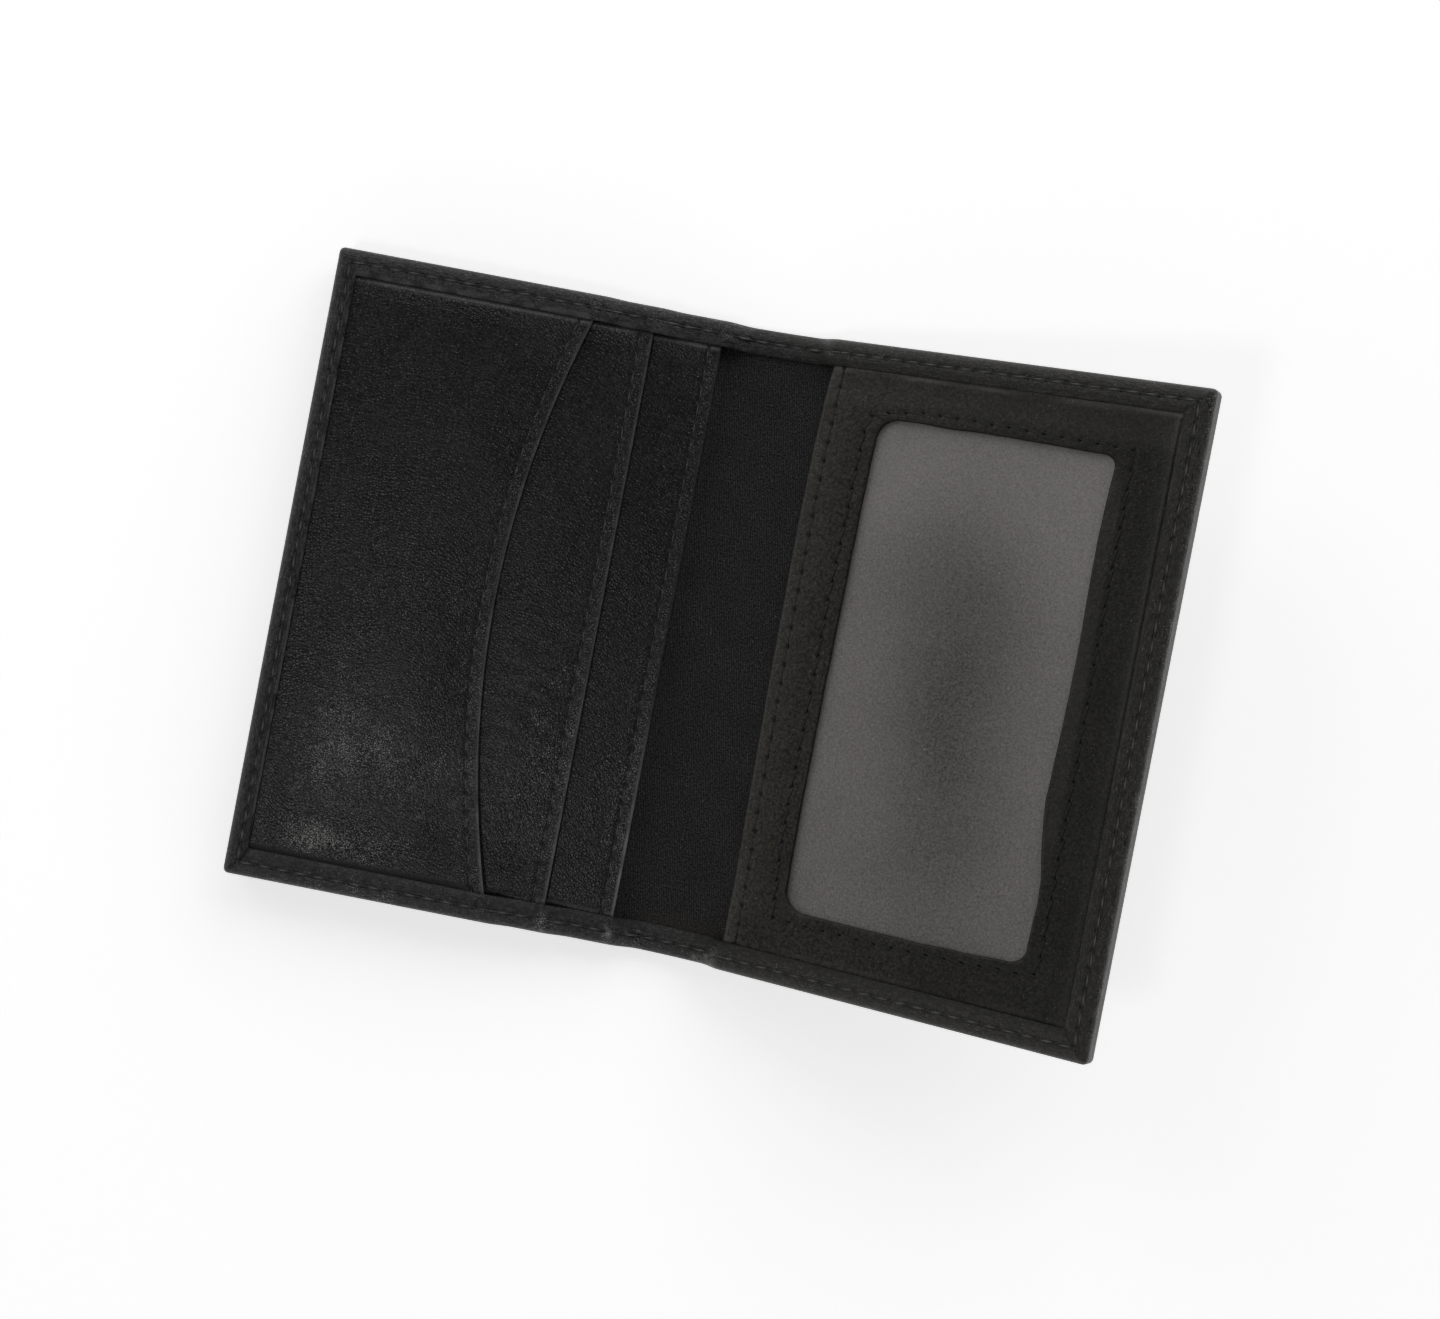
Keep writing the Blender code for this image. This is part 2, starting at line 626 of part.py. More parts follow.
def make_window_seam(panel, frame, window, materials):
    """The seam round the window: its groove in the frame, and its closed ring of thread."""
    s_low, s_high, y_low, y_high = window
    band = GROOVE_WIDTH / 2

    def ring(inset):
        """Outline at a distance outside the window."""
        return rectangle(s_low - inset, s_high + inset, y_low - inset, y_high + inset)

    inset = WINDOW_SEAM_INSET
    level = ID_FRAME_TOP
    edges = [ring(inset + band), ring(inset - band)]
    panel.cut_plate(frame, "window_groove", edges, level - GROOVE_DEPTH, level + OVERSHOOT)
    corners = ring(inset)
    stations = []
    for (s_a, y_a), (s_b, y_b) in zip(corners, corners[1:] + corners[:1]):
        length = math.hypot(s_b - s_a, y_b - y_a)
        for stop in stitch_stops(length)[:-1]:
            share = stop / length
            stations.append((s_a + (s_b - s_a) * share, y_a + (y_b - y_a) * share, seam_height(level)))
    panel.thread("id_window_stitches", stations, materials["thread"], closed=True)


def make_spine_strip(panel, number, materials):
    """One strip of the spine: leather with its two hems, lining, and a stitch in each hem."""
    pitch = STRIP_PITCH
    name = f"spine_cover_{number}"
    low, top = SPINE_LINING_LOW, SPINE_LINING_TOP

    def trapezoid(n_low, n_high):
        """Profile between two heights, leaning back at both fold lines."""
        points = [(fold_reach(n_low), n_low), (pitch - fold_reach(n_low), n_low)]
        if n_low < PIVOT_HEIGHT < n_high:
            points.append((pitch - FACE_GAP, PIVOT_HEIGHT))
        points += [(pitch - fold_reach(n_high), n_high), (fold_reach(n_high), n_high)]
        if n_low < PIVOT_HEIGHT < n_high:
            points.append((FACE_GAP, PIVOT_HEIGHT))
        return points

    profile = trapezoid(0.0, SPINE_THICKNESS)
    strip = panel.lengthwise(name, profile, -HEIGHT / 2, HEIGHT / 2, materials["leather"])
    round_strip_edges(strip)
    wall = HEIGHT / 2 - COVER_LEATHER
    ceiling = SPINE_THICKNESS - COVER_LEATHER
    cavity = rectangle(-OVERSHOOT, pitch + OVERSHOOT, COVER_LEATHER, ceiling)
    panel.cut_lengthwise(strip, name + "_cavity", cavity, -wall, wall)
    opening = rectangle(-OVERSHOOT, pitch + OVERSHOOT, OPENING_BOTTOM, OPENING_TOP)
    panel.cut_plate(strip, name + "_opening", [opening], SPINE_THICKNESS / 2, SPINE_THICKNESS + OVERSHOOT)
    lining = f"spine_lining_{number}"
    panel.lengthwise(lining, trapezoid(low, top), -LAYER_HALF_HEIGHT, LAYER_HALF_HEIGHT, materials["twill"])

    floor = SPINE_THICKNESS - GROOVE_DEPTH
    reach = fold_reach(SPINE_THICKNESS)
    band = GROOVE_WIDTH / 2
    for end, y in (("top", HEIGHT / 2 - EDGE_SEAM_INSET), ("bottom", EDGE_SEAM_INSET - HEIGHT / 2)):
        groove = rectangle(-OVERSHOOT, pitch + OVERSHOOT, y - band, y + band)
        panel.cut_plate(strip, f"{name}_groove_{end}", [groove], floor, SPINE_THICKNESS + OVERSHOOT)
        height = seam_height(SPINE_THICKNESS)
        stations = [(s, y, height) for s in (reach, pitch / 2, pitch - reach)]
        panel.thread(f"spine_stitch_{end}_{number}", stations, materials["thread"])


def new_fold(name, parent, x, z):
    """An empty on a fold line, turned to the fold that it has at rest."""
    fold = bpy.data.objects.new(name, None)
    fold.parent = parent
    fold.location = (x, 0.0, z)
    fold.rotation_euler = (0.0, -REST_STEP, 0.0)
    fold.empty_display_size = HEIGHT / 10
    bpy.context.scene.collection.objects.link(fold)
    return fold


def main():
    """Builds the card holder."""
    clear_scene()
    parts = new_collection("bifold_card_holder")
    cutters = new_collection("cutters")
    materials = {
        "leather": new_material("black_leather", BLACK_LEATHER),
        "pocket_leather": new_material("pocket_leather", POCKET_BLACK_LEATHER),
        "twill": new_material("lining_twill", BLACK_TWILL),
        "board": new_material("bonded_leather_board", GREY_BOARD),
        "film": new_material("frosted_vinyl", FROSTED_VINYL),
        "thread": new_material("black_thread", BLACK_THREAD),
    }
    left = Panel(parts, cutters, side=-1, fold_line=PANEL_WIDTH / 2)
    make_left_panel(left, materials)
    fold = new_fold("fold_1", None, PANEL_WIDTH / 2, PIVOT_HEIGHT)
    for number in range(1, SPINE_STRIPS + 1):
        strip = Panel(parts, cutters, parent=fold, base=-PIVOT_HEIGHT)
        make_spine_strip(strip, number, materials)
        fold = new_fold(f"fold_{number + 1}", fold, STRIP_PITCH, 0.0)
    right = Panel(parts, cutters, parent=fold, base=-PIVOT_HEIGHT)
    make_right_panel(right, materials)
    bpy.context.view_layer.update()


main()
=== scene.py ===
"""Looks of the bifold card holder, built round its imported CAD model.

A point of the flat pattern is (u, y, n) in millimetres: u runs across the opened holder from the
middle of the spine, y along the spine, and n from the outside leather upwards. The sizes of its
sub-assemblies are in millimetres too. Fold carries the points to their place at rest, in metres.
"""

import logging
import math
from collections.abc import Callable, Sequence
from dataclasses import dataclass, field
from enum import Enum

import bmesh
import bpy
import numpy as np
from mathutils import Matrix, Vector, noise


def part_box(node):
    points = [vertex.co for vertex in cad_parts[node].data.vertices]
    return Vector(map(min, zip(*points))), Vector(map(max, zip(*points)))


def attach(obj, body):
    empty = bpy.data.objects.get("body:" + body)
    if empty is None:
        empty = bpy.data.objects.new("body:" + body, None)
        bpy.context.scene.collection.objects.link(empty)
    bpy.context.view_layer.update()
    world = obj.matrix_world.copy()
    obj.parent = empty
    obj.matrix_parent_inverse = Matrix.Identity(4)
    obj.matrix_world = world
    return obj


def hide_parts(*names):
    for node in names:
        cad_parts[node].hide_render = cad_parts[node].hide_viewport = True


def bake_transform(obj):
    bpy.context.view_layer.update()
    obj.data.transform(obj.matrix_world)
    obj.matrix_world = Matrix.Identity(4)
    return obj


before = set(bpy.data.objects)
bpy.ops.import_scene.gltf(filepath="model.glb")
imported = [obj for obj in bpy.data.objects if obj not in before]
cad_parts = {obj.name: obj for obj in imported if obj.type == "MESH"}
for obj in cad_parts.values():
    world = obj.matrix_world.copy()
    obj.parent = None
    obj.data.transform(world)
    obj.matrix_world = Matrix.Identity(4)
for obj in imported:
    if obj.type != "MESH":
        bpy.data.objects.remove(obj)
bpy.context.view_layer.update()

log = logging.getLogger("card_holder")

MM = 0.001
IMAGE_WIDTH = 1440

# Millimetres, and counts, that several parts of the flat pattern share.
PITCH = 3.0  # from one stitch hole to the next
FINE = 10  # rows of points for each stitch
INNER_HALF = 49.95  # half the length of everything that lies between the end seams
POCKET_END = 64.391  # from a fold line to where the pocket leather ends in the side hem
LIP_ENDS = (-46.15, 46.55)  # first and last hole of a pocket lip's seam
LIP_STITCHES = 31

Tree = bpy.types.NodeTree
Node = bpy.types.Node
Socket = bpy.types.NodeSocket
Material = bpy.types.Material
Obj = bpy.types.Object
Array = np.ndarray
Pair = tuple[float, float]
Patch = tuple[float, float, float, float, float]  # middle (u, y), reach across and along, amount

MAP = ("From Min", "From Max", "To Min", "To Max")
CALM = (0.3, 0.7)  # the range that most of a noise's values lie in


def linear(code: str) -> tuple[float, float, float, float]:
    """Turns an sRGB hex colour into linear RGBA.

    Args:
        code: Six hex digits.

    Returns:
        The linear red, green and blue with alpha 1.
    """
    channels = [int(code[i : i + 2], 16) / 255 for i in (0, 2, 4)]
    red, green, blue = (c / 12.92 if c <= 0.04045 else ((c + 0.055) / 1.055) ** 2.4 for c in channels)
    return red, green, blue, 1.0


def add_node(tree: Tree, kind: str, settings: dict | None = None, links: dict | None = None) -> Node:
    """Adds a node with its settings and links.

    Args:
        tree: The node tree.
        kind: The node's type name.
        settings: Values by property name, or by input name or number.
        links: What feeds an input, by its name or number.

    Returns:
        The new node.
    """
    node = tree.nodes.new(kind)
    values = dict(settings or {})
    for key in [key for key in values if isinstance(key, str) and hasattr(node, key)]:
        setattr(node, key, values.pop(key))
    for key, value in values.items():
        node.inputs[key].default_value = value
    for key, source in (links or {}).items():
        connect(tree, source, node.inputs[key])
    return node


def connect(tree: Tree, source: Node | Socket, target: Socket) -> None:
    """Links a socket, or a node's first output in use, to an input.

    Args:
        tree: The node tree.
        source: The output socket, or its node.
        target: The input socket.
    """
    if isinstance(source, Node):
        source = next(socket for socket in source.outputs if socket.enabled)
    tree.links.new(source, target)


def shade_by(tree: Tree, *layers: tuple[Node, Pair, Pair]) -> Node:
    """Maps each layer from one range onto another, and multiplies them into one shade.

    Args:
        tree: The node tree.
        layers: For each layer what gives its values, their range, and the range wanted.

    Returns:
        The node that gives the shade.
    """
    shade = None
    for source, given, wanted in layers:
        spread = add_node(tree, "ShaderNodeMapRange", dict(zip(MAP, (*given, *wanted))), {"Value": source})
        both = {0: shade, 1: spread}
        shade = add_node(tree, "ShaderNodeMath", {"operation": "MULTIPLY"}, both) if shade else spread
    return shade


def smooth(x: Array) -> Array:
    """Runs from 0 to 1 without a kink as x goes from 0 to 1."""
    t = np.clip(x, 0.0, 1.0)
    return t * t * (3 - 2 * t)


def bell(x: Array, width: float) -> Array:
    """A rounded bump of height 1 at x = 0."""
    return np.exp(-((x / width) ** 2))


def ripple(a: Array, b: Array, size: float, seed: float) -> Array:
    """Seeded noise from -1 to 1 over two coordinates.

    Args:
        a: First coordinate.
        b: Second coordinate.
        size: Width of one ripple.
        seed: Picks another pattern.

    Returns:
        The noise, in the shape that both coordinates span.
    """
    a, b = np.broadcast_arrays(a, b)
    flat = [noise.noise((p / size, q / size, seed)) for p, q in zip(a.ravel(), b.ravel())]
    return np.array(flat).reshape(a.shape)


def punch(along: Array, across: Array, long: float = 0.27, wide: float = 0.25) -> Array:
    """Stitch holes, deepest in their middles.

    Args:
        along: Place along the seam, counted in stitches.
        across: Distance from the seam.
        long: Half length of a hole.
        wide: Half width of a hole.

    Returns:
        A depth from 0 to 1.
    """
    return bell((along - np.round(along)) * PITCH, long) * bell(across, wide)


def along_lip(y: Array) -> Array:
    """Place along a pocket lip's seam, counted in stitches."""
    return (y - LIP_ENDS[0]) / (LIP_ENDS[1] - LIP_ENDS[0]) * LIP_STITCHES


def round_edge(upper: Array, rim: Array, lower: Array) -> Array:
    """Joins values of an upper face, a rim and a lower face into rows that run round the edge."""
    return np.concatenate((upper[:, ::-1], rim, lower), axis=1)


@dataclass(frozen=True)
class Fold:
    """The rest shape: two flat panels, and between them the spine as one even arc."""

    pitch: float = 4.6392
    origin_x: float = 39.6794
    angle: float = math.radians(24.0)
    pivot: float = 0.4

    @property
    def line(self) -> float:
        """Distance of a panel's fold line from the middle of the spine."""
        return 1.5 * self.pitch

    def place(self, points: Array) -> Array:
        """Carries flat-pattern points to their place at rest.

        Args:
            points: An array whose last axis is (u, y, n).

        Returns:
            The points (x, y, z) in metres, in the same shape.
        """
        u, y, n = np.moveaxis(np.asarray(points, float), -1, 0)
        reach = 2 * self.pitch
        radius = 2 * reach / self.angle
        turn = np.clip((u + reach) / (2 * reach), 0.0, 1.0) * self.angle
        beyond = np.maximum(u - reach, 0.0)
        x = self.origin_x - reach + np.minimum(u + reach, 0.0) + radius * np.sin(turn)
        x = x + beyond * math.cos(self.angle) - (n - self.pivot) * np.sin(turn)
        z = self.pivot + radius * (1 - np.cos(turn)) + beyond * math.sin(self.angle)
        return MM * np.stack((x, y, z + (n - self.pivot) * np.cos(turn)), axis=-1)

    def up(self, u: Array) -> Array:
        """The direction away from the outside leather, at rest, at each u."""
        turn = np.clip((u / self.pitch + 2) / 4, 0.0, 1.0) * self.angle
        return np.stack((-np.sin(turn), np.zeros_like(turn), np.cos(turn)), axis=-1)


FOLD = Fold()


class Zone(Enum):
    """A stretch of the flat pattern that bends over one fold line: its two bodies and ends."""

    LEFT = ("left_panel", "spine_strip_1", -2, -1)
    SPINE_LEFT = ("spine_strip_1", "spine_strip_2", -1, 0)
    SPINE_RIGHT = ("spine_strip_2", "spine_strip_3", 0, 1)
    RIGHT = ("spine_strip_3", "right_panel", 1, 2)


def settle(piece: Obj, mover: Zone | str, slot: str, *nodes: str) -> None:
    """Puts a finished piece in place of its CAD nodes, on its body or with its transform baked, and reports
    it.

    Args:
        piece: The piece.
        mover: The stretch that it bends with, or the body that it rides on.
        slot: Not used.
        nodes: The CAD nodes that it stands for.
    """
    if isinstance(mover, Zone):
        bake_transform(piece)
    else:
        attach(piece, mover)
    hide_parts(*nodes)
    log.info("%s: %d faces", piece.name, len(piece.data.polygons))


@dataclass(frozen=True)
class Opening:
    """The room between the two end hems, where pocket leather shows."""

    low: float = -46.4
    high: float = 46.8

    def free(self, y: Array) -> Array:
        """From 0 at the end hems to 1 where they no longer hold the leather down."""
        return smooth((self.high - y - 1) / 9) * smooth((y - self.low - 1) / 9)

    def beside(self, y: Array, place: float, width: float, lower: float = 1.0) -> Array:
        """A bump at some distance inside each end hem, with another height at the lower one."""
        return bell(self.high - y - place, width) + lower * bell(y - self.low - place, width)

    def covered(self, y: Array) -> Array:
        """1 where an end hem lies on the leather, and close beside it."""
        return smooth((y - self.high + 0.2) / 0.3) + smooth((self.low + 0.2 - y) / 0.3)


OPENING = Opening()


class Skin:
    """Collects grids of flat-pattern points into one closed mesh.

    Each point has its place in a UV map, in metres, and marks from 0 to 1: crevice, where dirt gathers and
    shade is painted, rub, where handling has taken the pigment off the grain or dust lies, and where glints
    and sheen are painted (on the film, painted shade), gleam, where highlights are painted on edges and
    chips show pale, and pull, where leather is stretched over a turned edge.
    """

    MARKS = ("crevice", "wear_dust_and_painted_light", "gleam", "pull")

    def __init__(self) -> None:
        """Starts with no points."""
        self.points: list[Array] = []
        self.pattern: list[Array] = []
        self.marks: list[Array] = []
        self.faces: list[list[int]] = []
        self.caps: list[list[int]] = []
        self.count = 0

    def add(self, points: Array, pattern: Array, *marks: Array | float) -> Array:
        """Adds a grid of points.

        Args:
            points: The grid, with (u, y, n) on its last axis.
            pattern: Their UV places, with two values on the last axis.
            marks: The marks in their order, and 0 for what isn't given.

        Returns:
            The points' numbers, in the shape of the grid.
        """
        shape = points.shape[:-1]
        size = int(np.prod(shape))
        self.points.append(points.reshape(size, 3))
        self.pattern.append(np.broadcast_to(pattern, (*shape, 2)).reshape(size, 2))
        given = [*marks, *[0.0] * (len(self.MARKS) - len(marks))]
        stacked = np.stack([np.broadcast_to(np.clip(mark, 0, 1), shape) for mark in given], axis=-1)
        self.marks.append(stacked.reshape(size, len(self.MARKS)))
        numbers = np.arange(self.count, self.count + size).reshape(shape)
        self.count += size
        return numbers

    def weave(self, numbers: Array, cut: bool = False) -> None:
        """Spans quads over a grid of points.

        Args:
            numbers: The points' numbers.
            cut: Whether this is a flat cut with sharp rims, not soft skin.
        """
        corners = (numbers[:-1, :-1], numbers[1:, :-1], numbers[1:, 1:], numbers[:-1, 1:])
        quads = np.stack(corners, axis=-1).reshape(-1, 4).tolist()
        if cut:
            self.caps += quads
        else:
            self.faces += quads

    def piece(self, name: str, material: Material) -> Obj:
        """Makes the object, at the origin with its place in its mesh.

        Args:
            name: The piece's name.
            material: Its material.

        Returns:
            The object.
        """
        mesh = bpy.data.meshes.new(name)
        mesh.from_pydata(FOLD.place(np.concatenate(self.points)).tolist(), [], self.faces + self.caps)
        mesh.polygons.foreach_set("use_smooth", [True] * len(self.faces) + [False] * len(self.caps))
        marks = np.concatenate(self.marks)
        for column, label in enumerate(self.MARKS):
            mesh.attributes.new(label, "FLOAT", "POINT").data.foreach_set("value", marks[:, column])
        corners = np.empty(len(mesh.loops), int)
        mesh.loops.foreach_get("vertex_index", corners)
        pattern = MM * np.concatenate(self.pattern)[corners]
        mesh.uv_layers.new(name="pattern").data.foreach_set("uv", pattern.ravel())
        form = bmesh.new()
        form.from_mesh(mesh)
        bmesh.ops.recalc_face_normals(form, faces=form.faces)
        for edge in form.edges:
            edge.smooth = all(face.smooth for face in edge.link_faces)
        form.to_mesh(mesh)
        form.free()
        mesh.materials.append(material)
        return shown(name, mesh)


def shown(name: str, data: bpy.types.ID) -> Obj:
    """Makes an object of some data and adds it to the scene.

    Args:
        name: The object's name.
        data: Its mesh, light or camera.

    Returns:
        The object.
    """
    obj = bpy.data.objects.new(name, data)
    bpy.context.scene.collection.objects.link(obj)
    return obj


@dataclass(frozen=True)
class Finish:
    """A procedural material: a shader whose inputs have fixed values or are fed by nodes."""

    name: str

    def fixed(self) -> dict:
        """The shader's inputs that are the same all over."""
        return {}

    def fed(self, tree: Tree) -> dict:
        """The nodes that feed the shader's other inputs.

        Args:
            tree: The node tree.

        Returns:
            What feeds each input of the shader.
        """
        return {}

    def material(self) -> Material:
        """Builds the material.

        Returns:
            The material.
        """
        material = bpy.data.materials.new(self.name)
        material.use_nodes = True
        tree = material.node_tree
        inputs = tree.nodes["Principled BSDF"].inputs
        for label, value in self.fixed().items():
            inputs[label].default_value = value
        for label, source in self.fed(tree).items():
            connect(tree, source, inputs[label])
        return material


@dataclass(frozen=True)
class Hide(Finish):
    """Black cowhide with a corrected, pigmented face and a pressed pebble grain.

    The face is satin: pebbles catch small lights while the flats stay near black. Pale flecks lie on the
    pebbles: where the pigment has come off, and as painted glints and sheen. Towards the right its colour
    passes from face to aged, over the stretch in x that ages gives; on the window frame this darkening is
    painted shade. Fine creases run along a turned edge, and paint shade and highlight into the colour.
    """

    face: str = "1d1d1e"
    # A second tone towards the right; on the window frame this darkening is painted shade.
    right_tone: str = "1a1813"
    ages: Pair = (30 * MM, 52 * MM)
    # Pale colour of lost pigment and of painted glints, sheen and highlights, and near black of dirt and
    # painted shade.
    wear_and_painted_highlight: str = "8a8886"
    painted_shade_and_dirt: str = "030303"
    roughness: float = 0.36
    gloss: float = 0.5
    pebble: float = 0.5 * MM
    relief: float = 0.03 * MM

    def fixed(self) -> dict:
        """The gloss of the pigmented face."""
        return {"Specular IOR Level": self.gloss}

    def fed(self, tree: Tree) -> dict:
        """Grain, creases, wear and dirt, with painted shade, highlights, glints and sheen.

        Args:
            tree: The node tree.

        Returns:
            What feeds each input of the shader.
        """
        place = add_node(tree, "ShaderNodeTexCoord").outputs["Object"]
        crevice, wear_dust_and_painted_light, gleam, pull = (
            add_node(tree, "ShaderNodeAttribute", {"attribute_name": mark}).outputs["Fac"]
            for mark in Skin.MARKS
        )
        clouds = (
            {"Scale": 1 / (0.7 * self.pebble), "Detail": 1.0, "Roughness": 0.6},
            {"Scale": 1 / self.pebble, "Detail": 1.5, "Roughness": 0.6},
            {"Scale": 1 / (9 * MM), "Detail": 4.0, "Roughness": 0.55},
            {"Scale": 1 / (0.2 * MM), "Detail": 1.0, "Roughness": 0.6},
        )
        pores, mottle, cloudy, flecks = (
            add_node(tree, "ShaderNodeTexNoise", settings, {"Vector": place}) for settings in clouds
        )
        settings = {"feature": "DISTANCE_TO_EDGE", "Scale": 1 / self.pebble}
        valleys = add_node(tree, "ShaderNodeTexVoronoi", settings, {"Vector": place})
        pebbles = add_node(tree, "ShaderNodeMapRange", {"From Max": 0.35}, {"Value": valleys})
        creases = self.creases(tree, pull)
        height = pebbles
        for share, layer in ((1.4, pores), (1.1, creases)):
            settings = {"operation": "MULTIPLY_ADD", 1: share}
            height = add_node(tree, "ShaderNodeMath", settings, {0: layer, 2: height})
        settings = {"Strength": 1.0, "Distance": self.relief}
        bump = add_node(tree, "ShaderNodeBump", settings, {"Height": height})
        # The creases layer paints shade and highlight along the creases into the colour.
        shade = shade_by(
            tree,
            (cloudy, CALM, (0.85, 1.15)),
            (mottle, (0.32, 0.68), (0.2, 1.8)),
            (flecks, CALM, (0.6, 1.4)),
            (creases, (-0.7, 1.2), (0.23, 2.32)),
        )
        across = add_node(tree, "ShaderNodeSeparateXYZ", {}, {0: place})
        # The tone changes towards the right; on the window frame this darkening is painted shade.
        rightward = add_node(tree, "ShaderNodeMapRange", dict(zip(MAP, self.ages)), {"Value": across})
        tones = {"data_type": "RGBA", "A": linear(self.face), "B": linear(self.right_tone)}
        tone = add_node(tree, "ShaderNodeMix", tones, {"Factor": rightward})
        colour = add_node(tree, "ShaderNodeVectorMath", {"operation": "SCALE"}, {0: tone, "Scale": shade})
        # Pale flecks where the mark is high: lost pigment, and painted glints and sheen; a few everywhere
        # as painted glints.
        settings = {"operation": "MULTIPLY_ADD", 1: 0.25}
        tops = add_node(tree, "ShaderNodeMath", settings, {0: wear_dust_and_painted_light, 2: flecks})
        painted_glints_and_wear = add_node(tree, "ShaderNodeMapRange", dict(zip(MAP, (0.75, 0.85))), {"Value": tops})
        # Mixes in the pale flecks, the painted highlights of the gleam mark, and painted shade with dirt
        # from the crevice mark.
        for share, code in ((painted_glints_and_wear, self.wear_and_painted_highlight), (gleam, self.wear_and_painted_highlight), (crevice, self.painted_shade_and_dirt)):
            settings = {"data_type": "RGBA", "B": linear(code)}
            colour = add_node(tree, "ShaderNodeMix", settings, {"Factor": share, "A": colour})
        satin = dict(zip(MAP, (*CALM, self.roughness, self.roughness + 0.06)))
        sheen = add_node(tree, "ShaderNodeMapRange", satin, {"Value": cloudy})
        settings = {"operation": "MULTIPLY_ADD", 1: 0.4}
        rough = add_node(tree, "ShaderNodeMath", settings, {0: crevice, 2: sheen})
        return {"Base Color": colour, "Roughness": rough, "Normal": bump}

    def creases(self, tree: Tree, pull: Socket) -> Node:
        """Fine creases 1.2 mm long along a turned edge, 0.26 mm apart, from the piece's own UV map.

        Args:
            tree: The node tree.
            pull: Where the leather is stretched.

        Returns:
            The node that gives their height.
        """
        pattern = add_node(tree, "ShaderNodeUVMap", {"uv_map": "pattern"})
        scale = {"Scale": (1 / (1.2 * MM), 1 / (0.26 * MM), 1.0)}
        stretched = add_node(tree, "ShaderNodeMapping", scale, {"Vector": pattern})
        lines = {"Scale": 1.0, "Detail": 4.0, "Roughness": 0.65}
        fine = add_node(tree, "ShaderNodeTexNoise", lines, {"Vector": stretched})
        settings = dict(zip(MAP, (0.42, 0.58, -0.7, 1.2)))
        drawn = add_node(tree, "ShaderNodeMapRange", settings, {"Value": fine})
        return add_node(tree, "ShaderNodeMath", {"operation": "MULTIPLY"}, {0: pull, 1: drawn})


@dataclass(frozen=True)
class Twill(Finish):
    """Black rayon lining twill, woven: fine steep ribs that swallow light, with pale lint.

    The ribs are drawn twice as coarse as real, so that they show. A wave texture has one band for
    each unit of its pattern at the scale one_band.
    """

    yarn: str = "2c2c2d"
    lint: str = "757370"
    dust: str = "463c30"
    rib: float = 0.4 * MM
    one_band: float = 0.628

    def fixed(self) -> dict:
        """The dull shine of the yarn."""
        return {"Roughness": 0.9, "Specular IOR Level": 0.25}

    def fed(self, tree: Tree) -> dict:
        """Ribs, fuzz, lint and dust.

        Args:
            tree: The node tree.

        Returns:
            What feeds each input of the shader.
        """
        pattern = add_node(tree, "ShaderNodeUVMap", {"uv_map": "pattern"})
        clouds = (
            {"Scale": 1 / (0.3 * MM), "Detail": 2.0, "Roughness": 0.7},
            {"Scale": 1 / (7 * MM), "Detail": 3.0, "Roughness": 0.6},
            {"Scale": 1 / (0.32 * MM), "Detail": 0.0, "Roughness": 0.5},
        )
        fuzz, drift, grit = (
            add_node(tree, "ShaderNodeTexNoise", settings, {"Vector": pattern}) for settings in clouds
        )
        steep = {"Scale": (1 / self.rib, 0.22 / self.rib, 1.0)}
        leaning = add_node(tree, "ShaderNodeMapping", steep, {"Vector": pattern})
        weave = {"bands_direction": "DIAGONAL", "Scale": self.one_band, "Distortion": 2.5}
        weave |= {"Detail": 2.0, "Detail Scale": 1.5}
        ribs = add_node(tree, "ShaderNodeTexWave", weave, {"Vector": leaning}).outputs["Fac"]
        settings = {"operation": "MULTIPLY_ADD", 1: 1.0}
        height = add_node(tree, "ShaderNodeMath", settings, {0: fuzz, 2: ribs})
        settings = {"Strength": 0.8, "Distance": 0.05 * MM}
        bump = add_node(tree, "ShaderNodeBump", settings, {"Height": height})
        shade = shade_by(
            tree,
            (ribs, (0.0, 1.0), (0.65, 1.3)),
            (fuzz, (0.34, 0.66), (0.0, 2.0)),
            (drift, CALM, (0.85, 1.15)),
        )
        settings = {"operation": "SCALE", 0: linear(self.yarn)[:3]}
        colour = add_node(tree, "ShaderNodeVectorMath", settings, {"Scale": shade})
        wear_dust_and_painted_light = add_node(tree, "ShaderNodeAttribute", {"attribute_name": "wear_dust_and_painted_light"}).outputs["Fac"]
        dust_and_glint = add_node(tree, "ShaderNodeMath", {"operation": "MULTIPLY"}, {0: wear_dust_and_painted_light, 1: fuzz})
        settings = dict(zip(MAP, (0.79, 0.86, 0.0, 0.7)))
        specks = add_node(tree, "ShaderNodeMapRange", settings, {"Value": grit})
        for share, code in ((dust_and_glint, self.dust), (specks, self.lint)):
            settings = {"data_type": "RGBA", "B": linear(code)}
            colour = add_node(tree, "ShaderNodeMix", settings, {"Factor": share, "A": colour})
        return {"Base Color": colour, "Normal": bump}


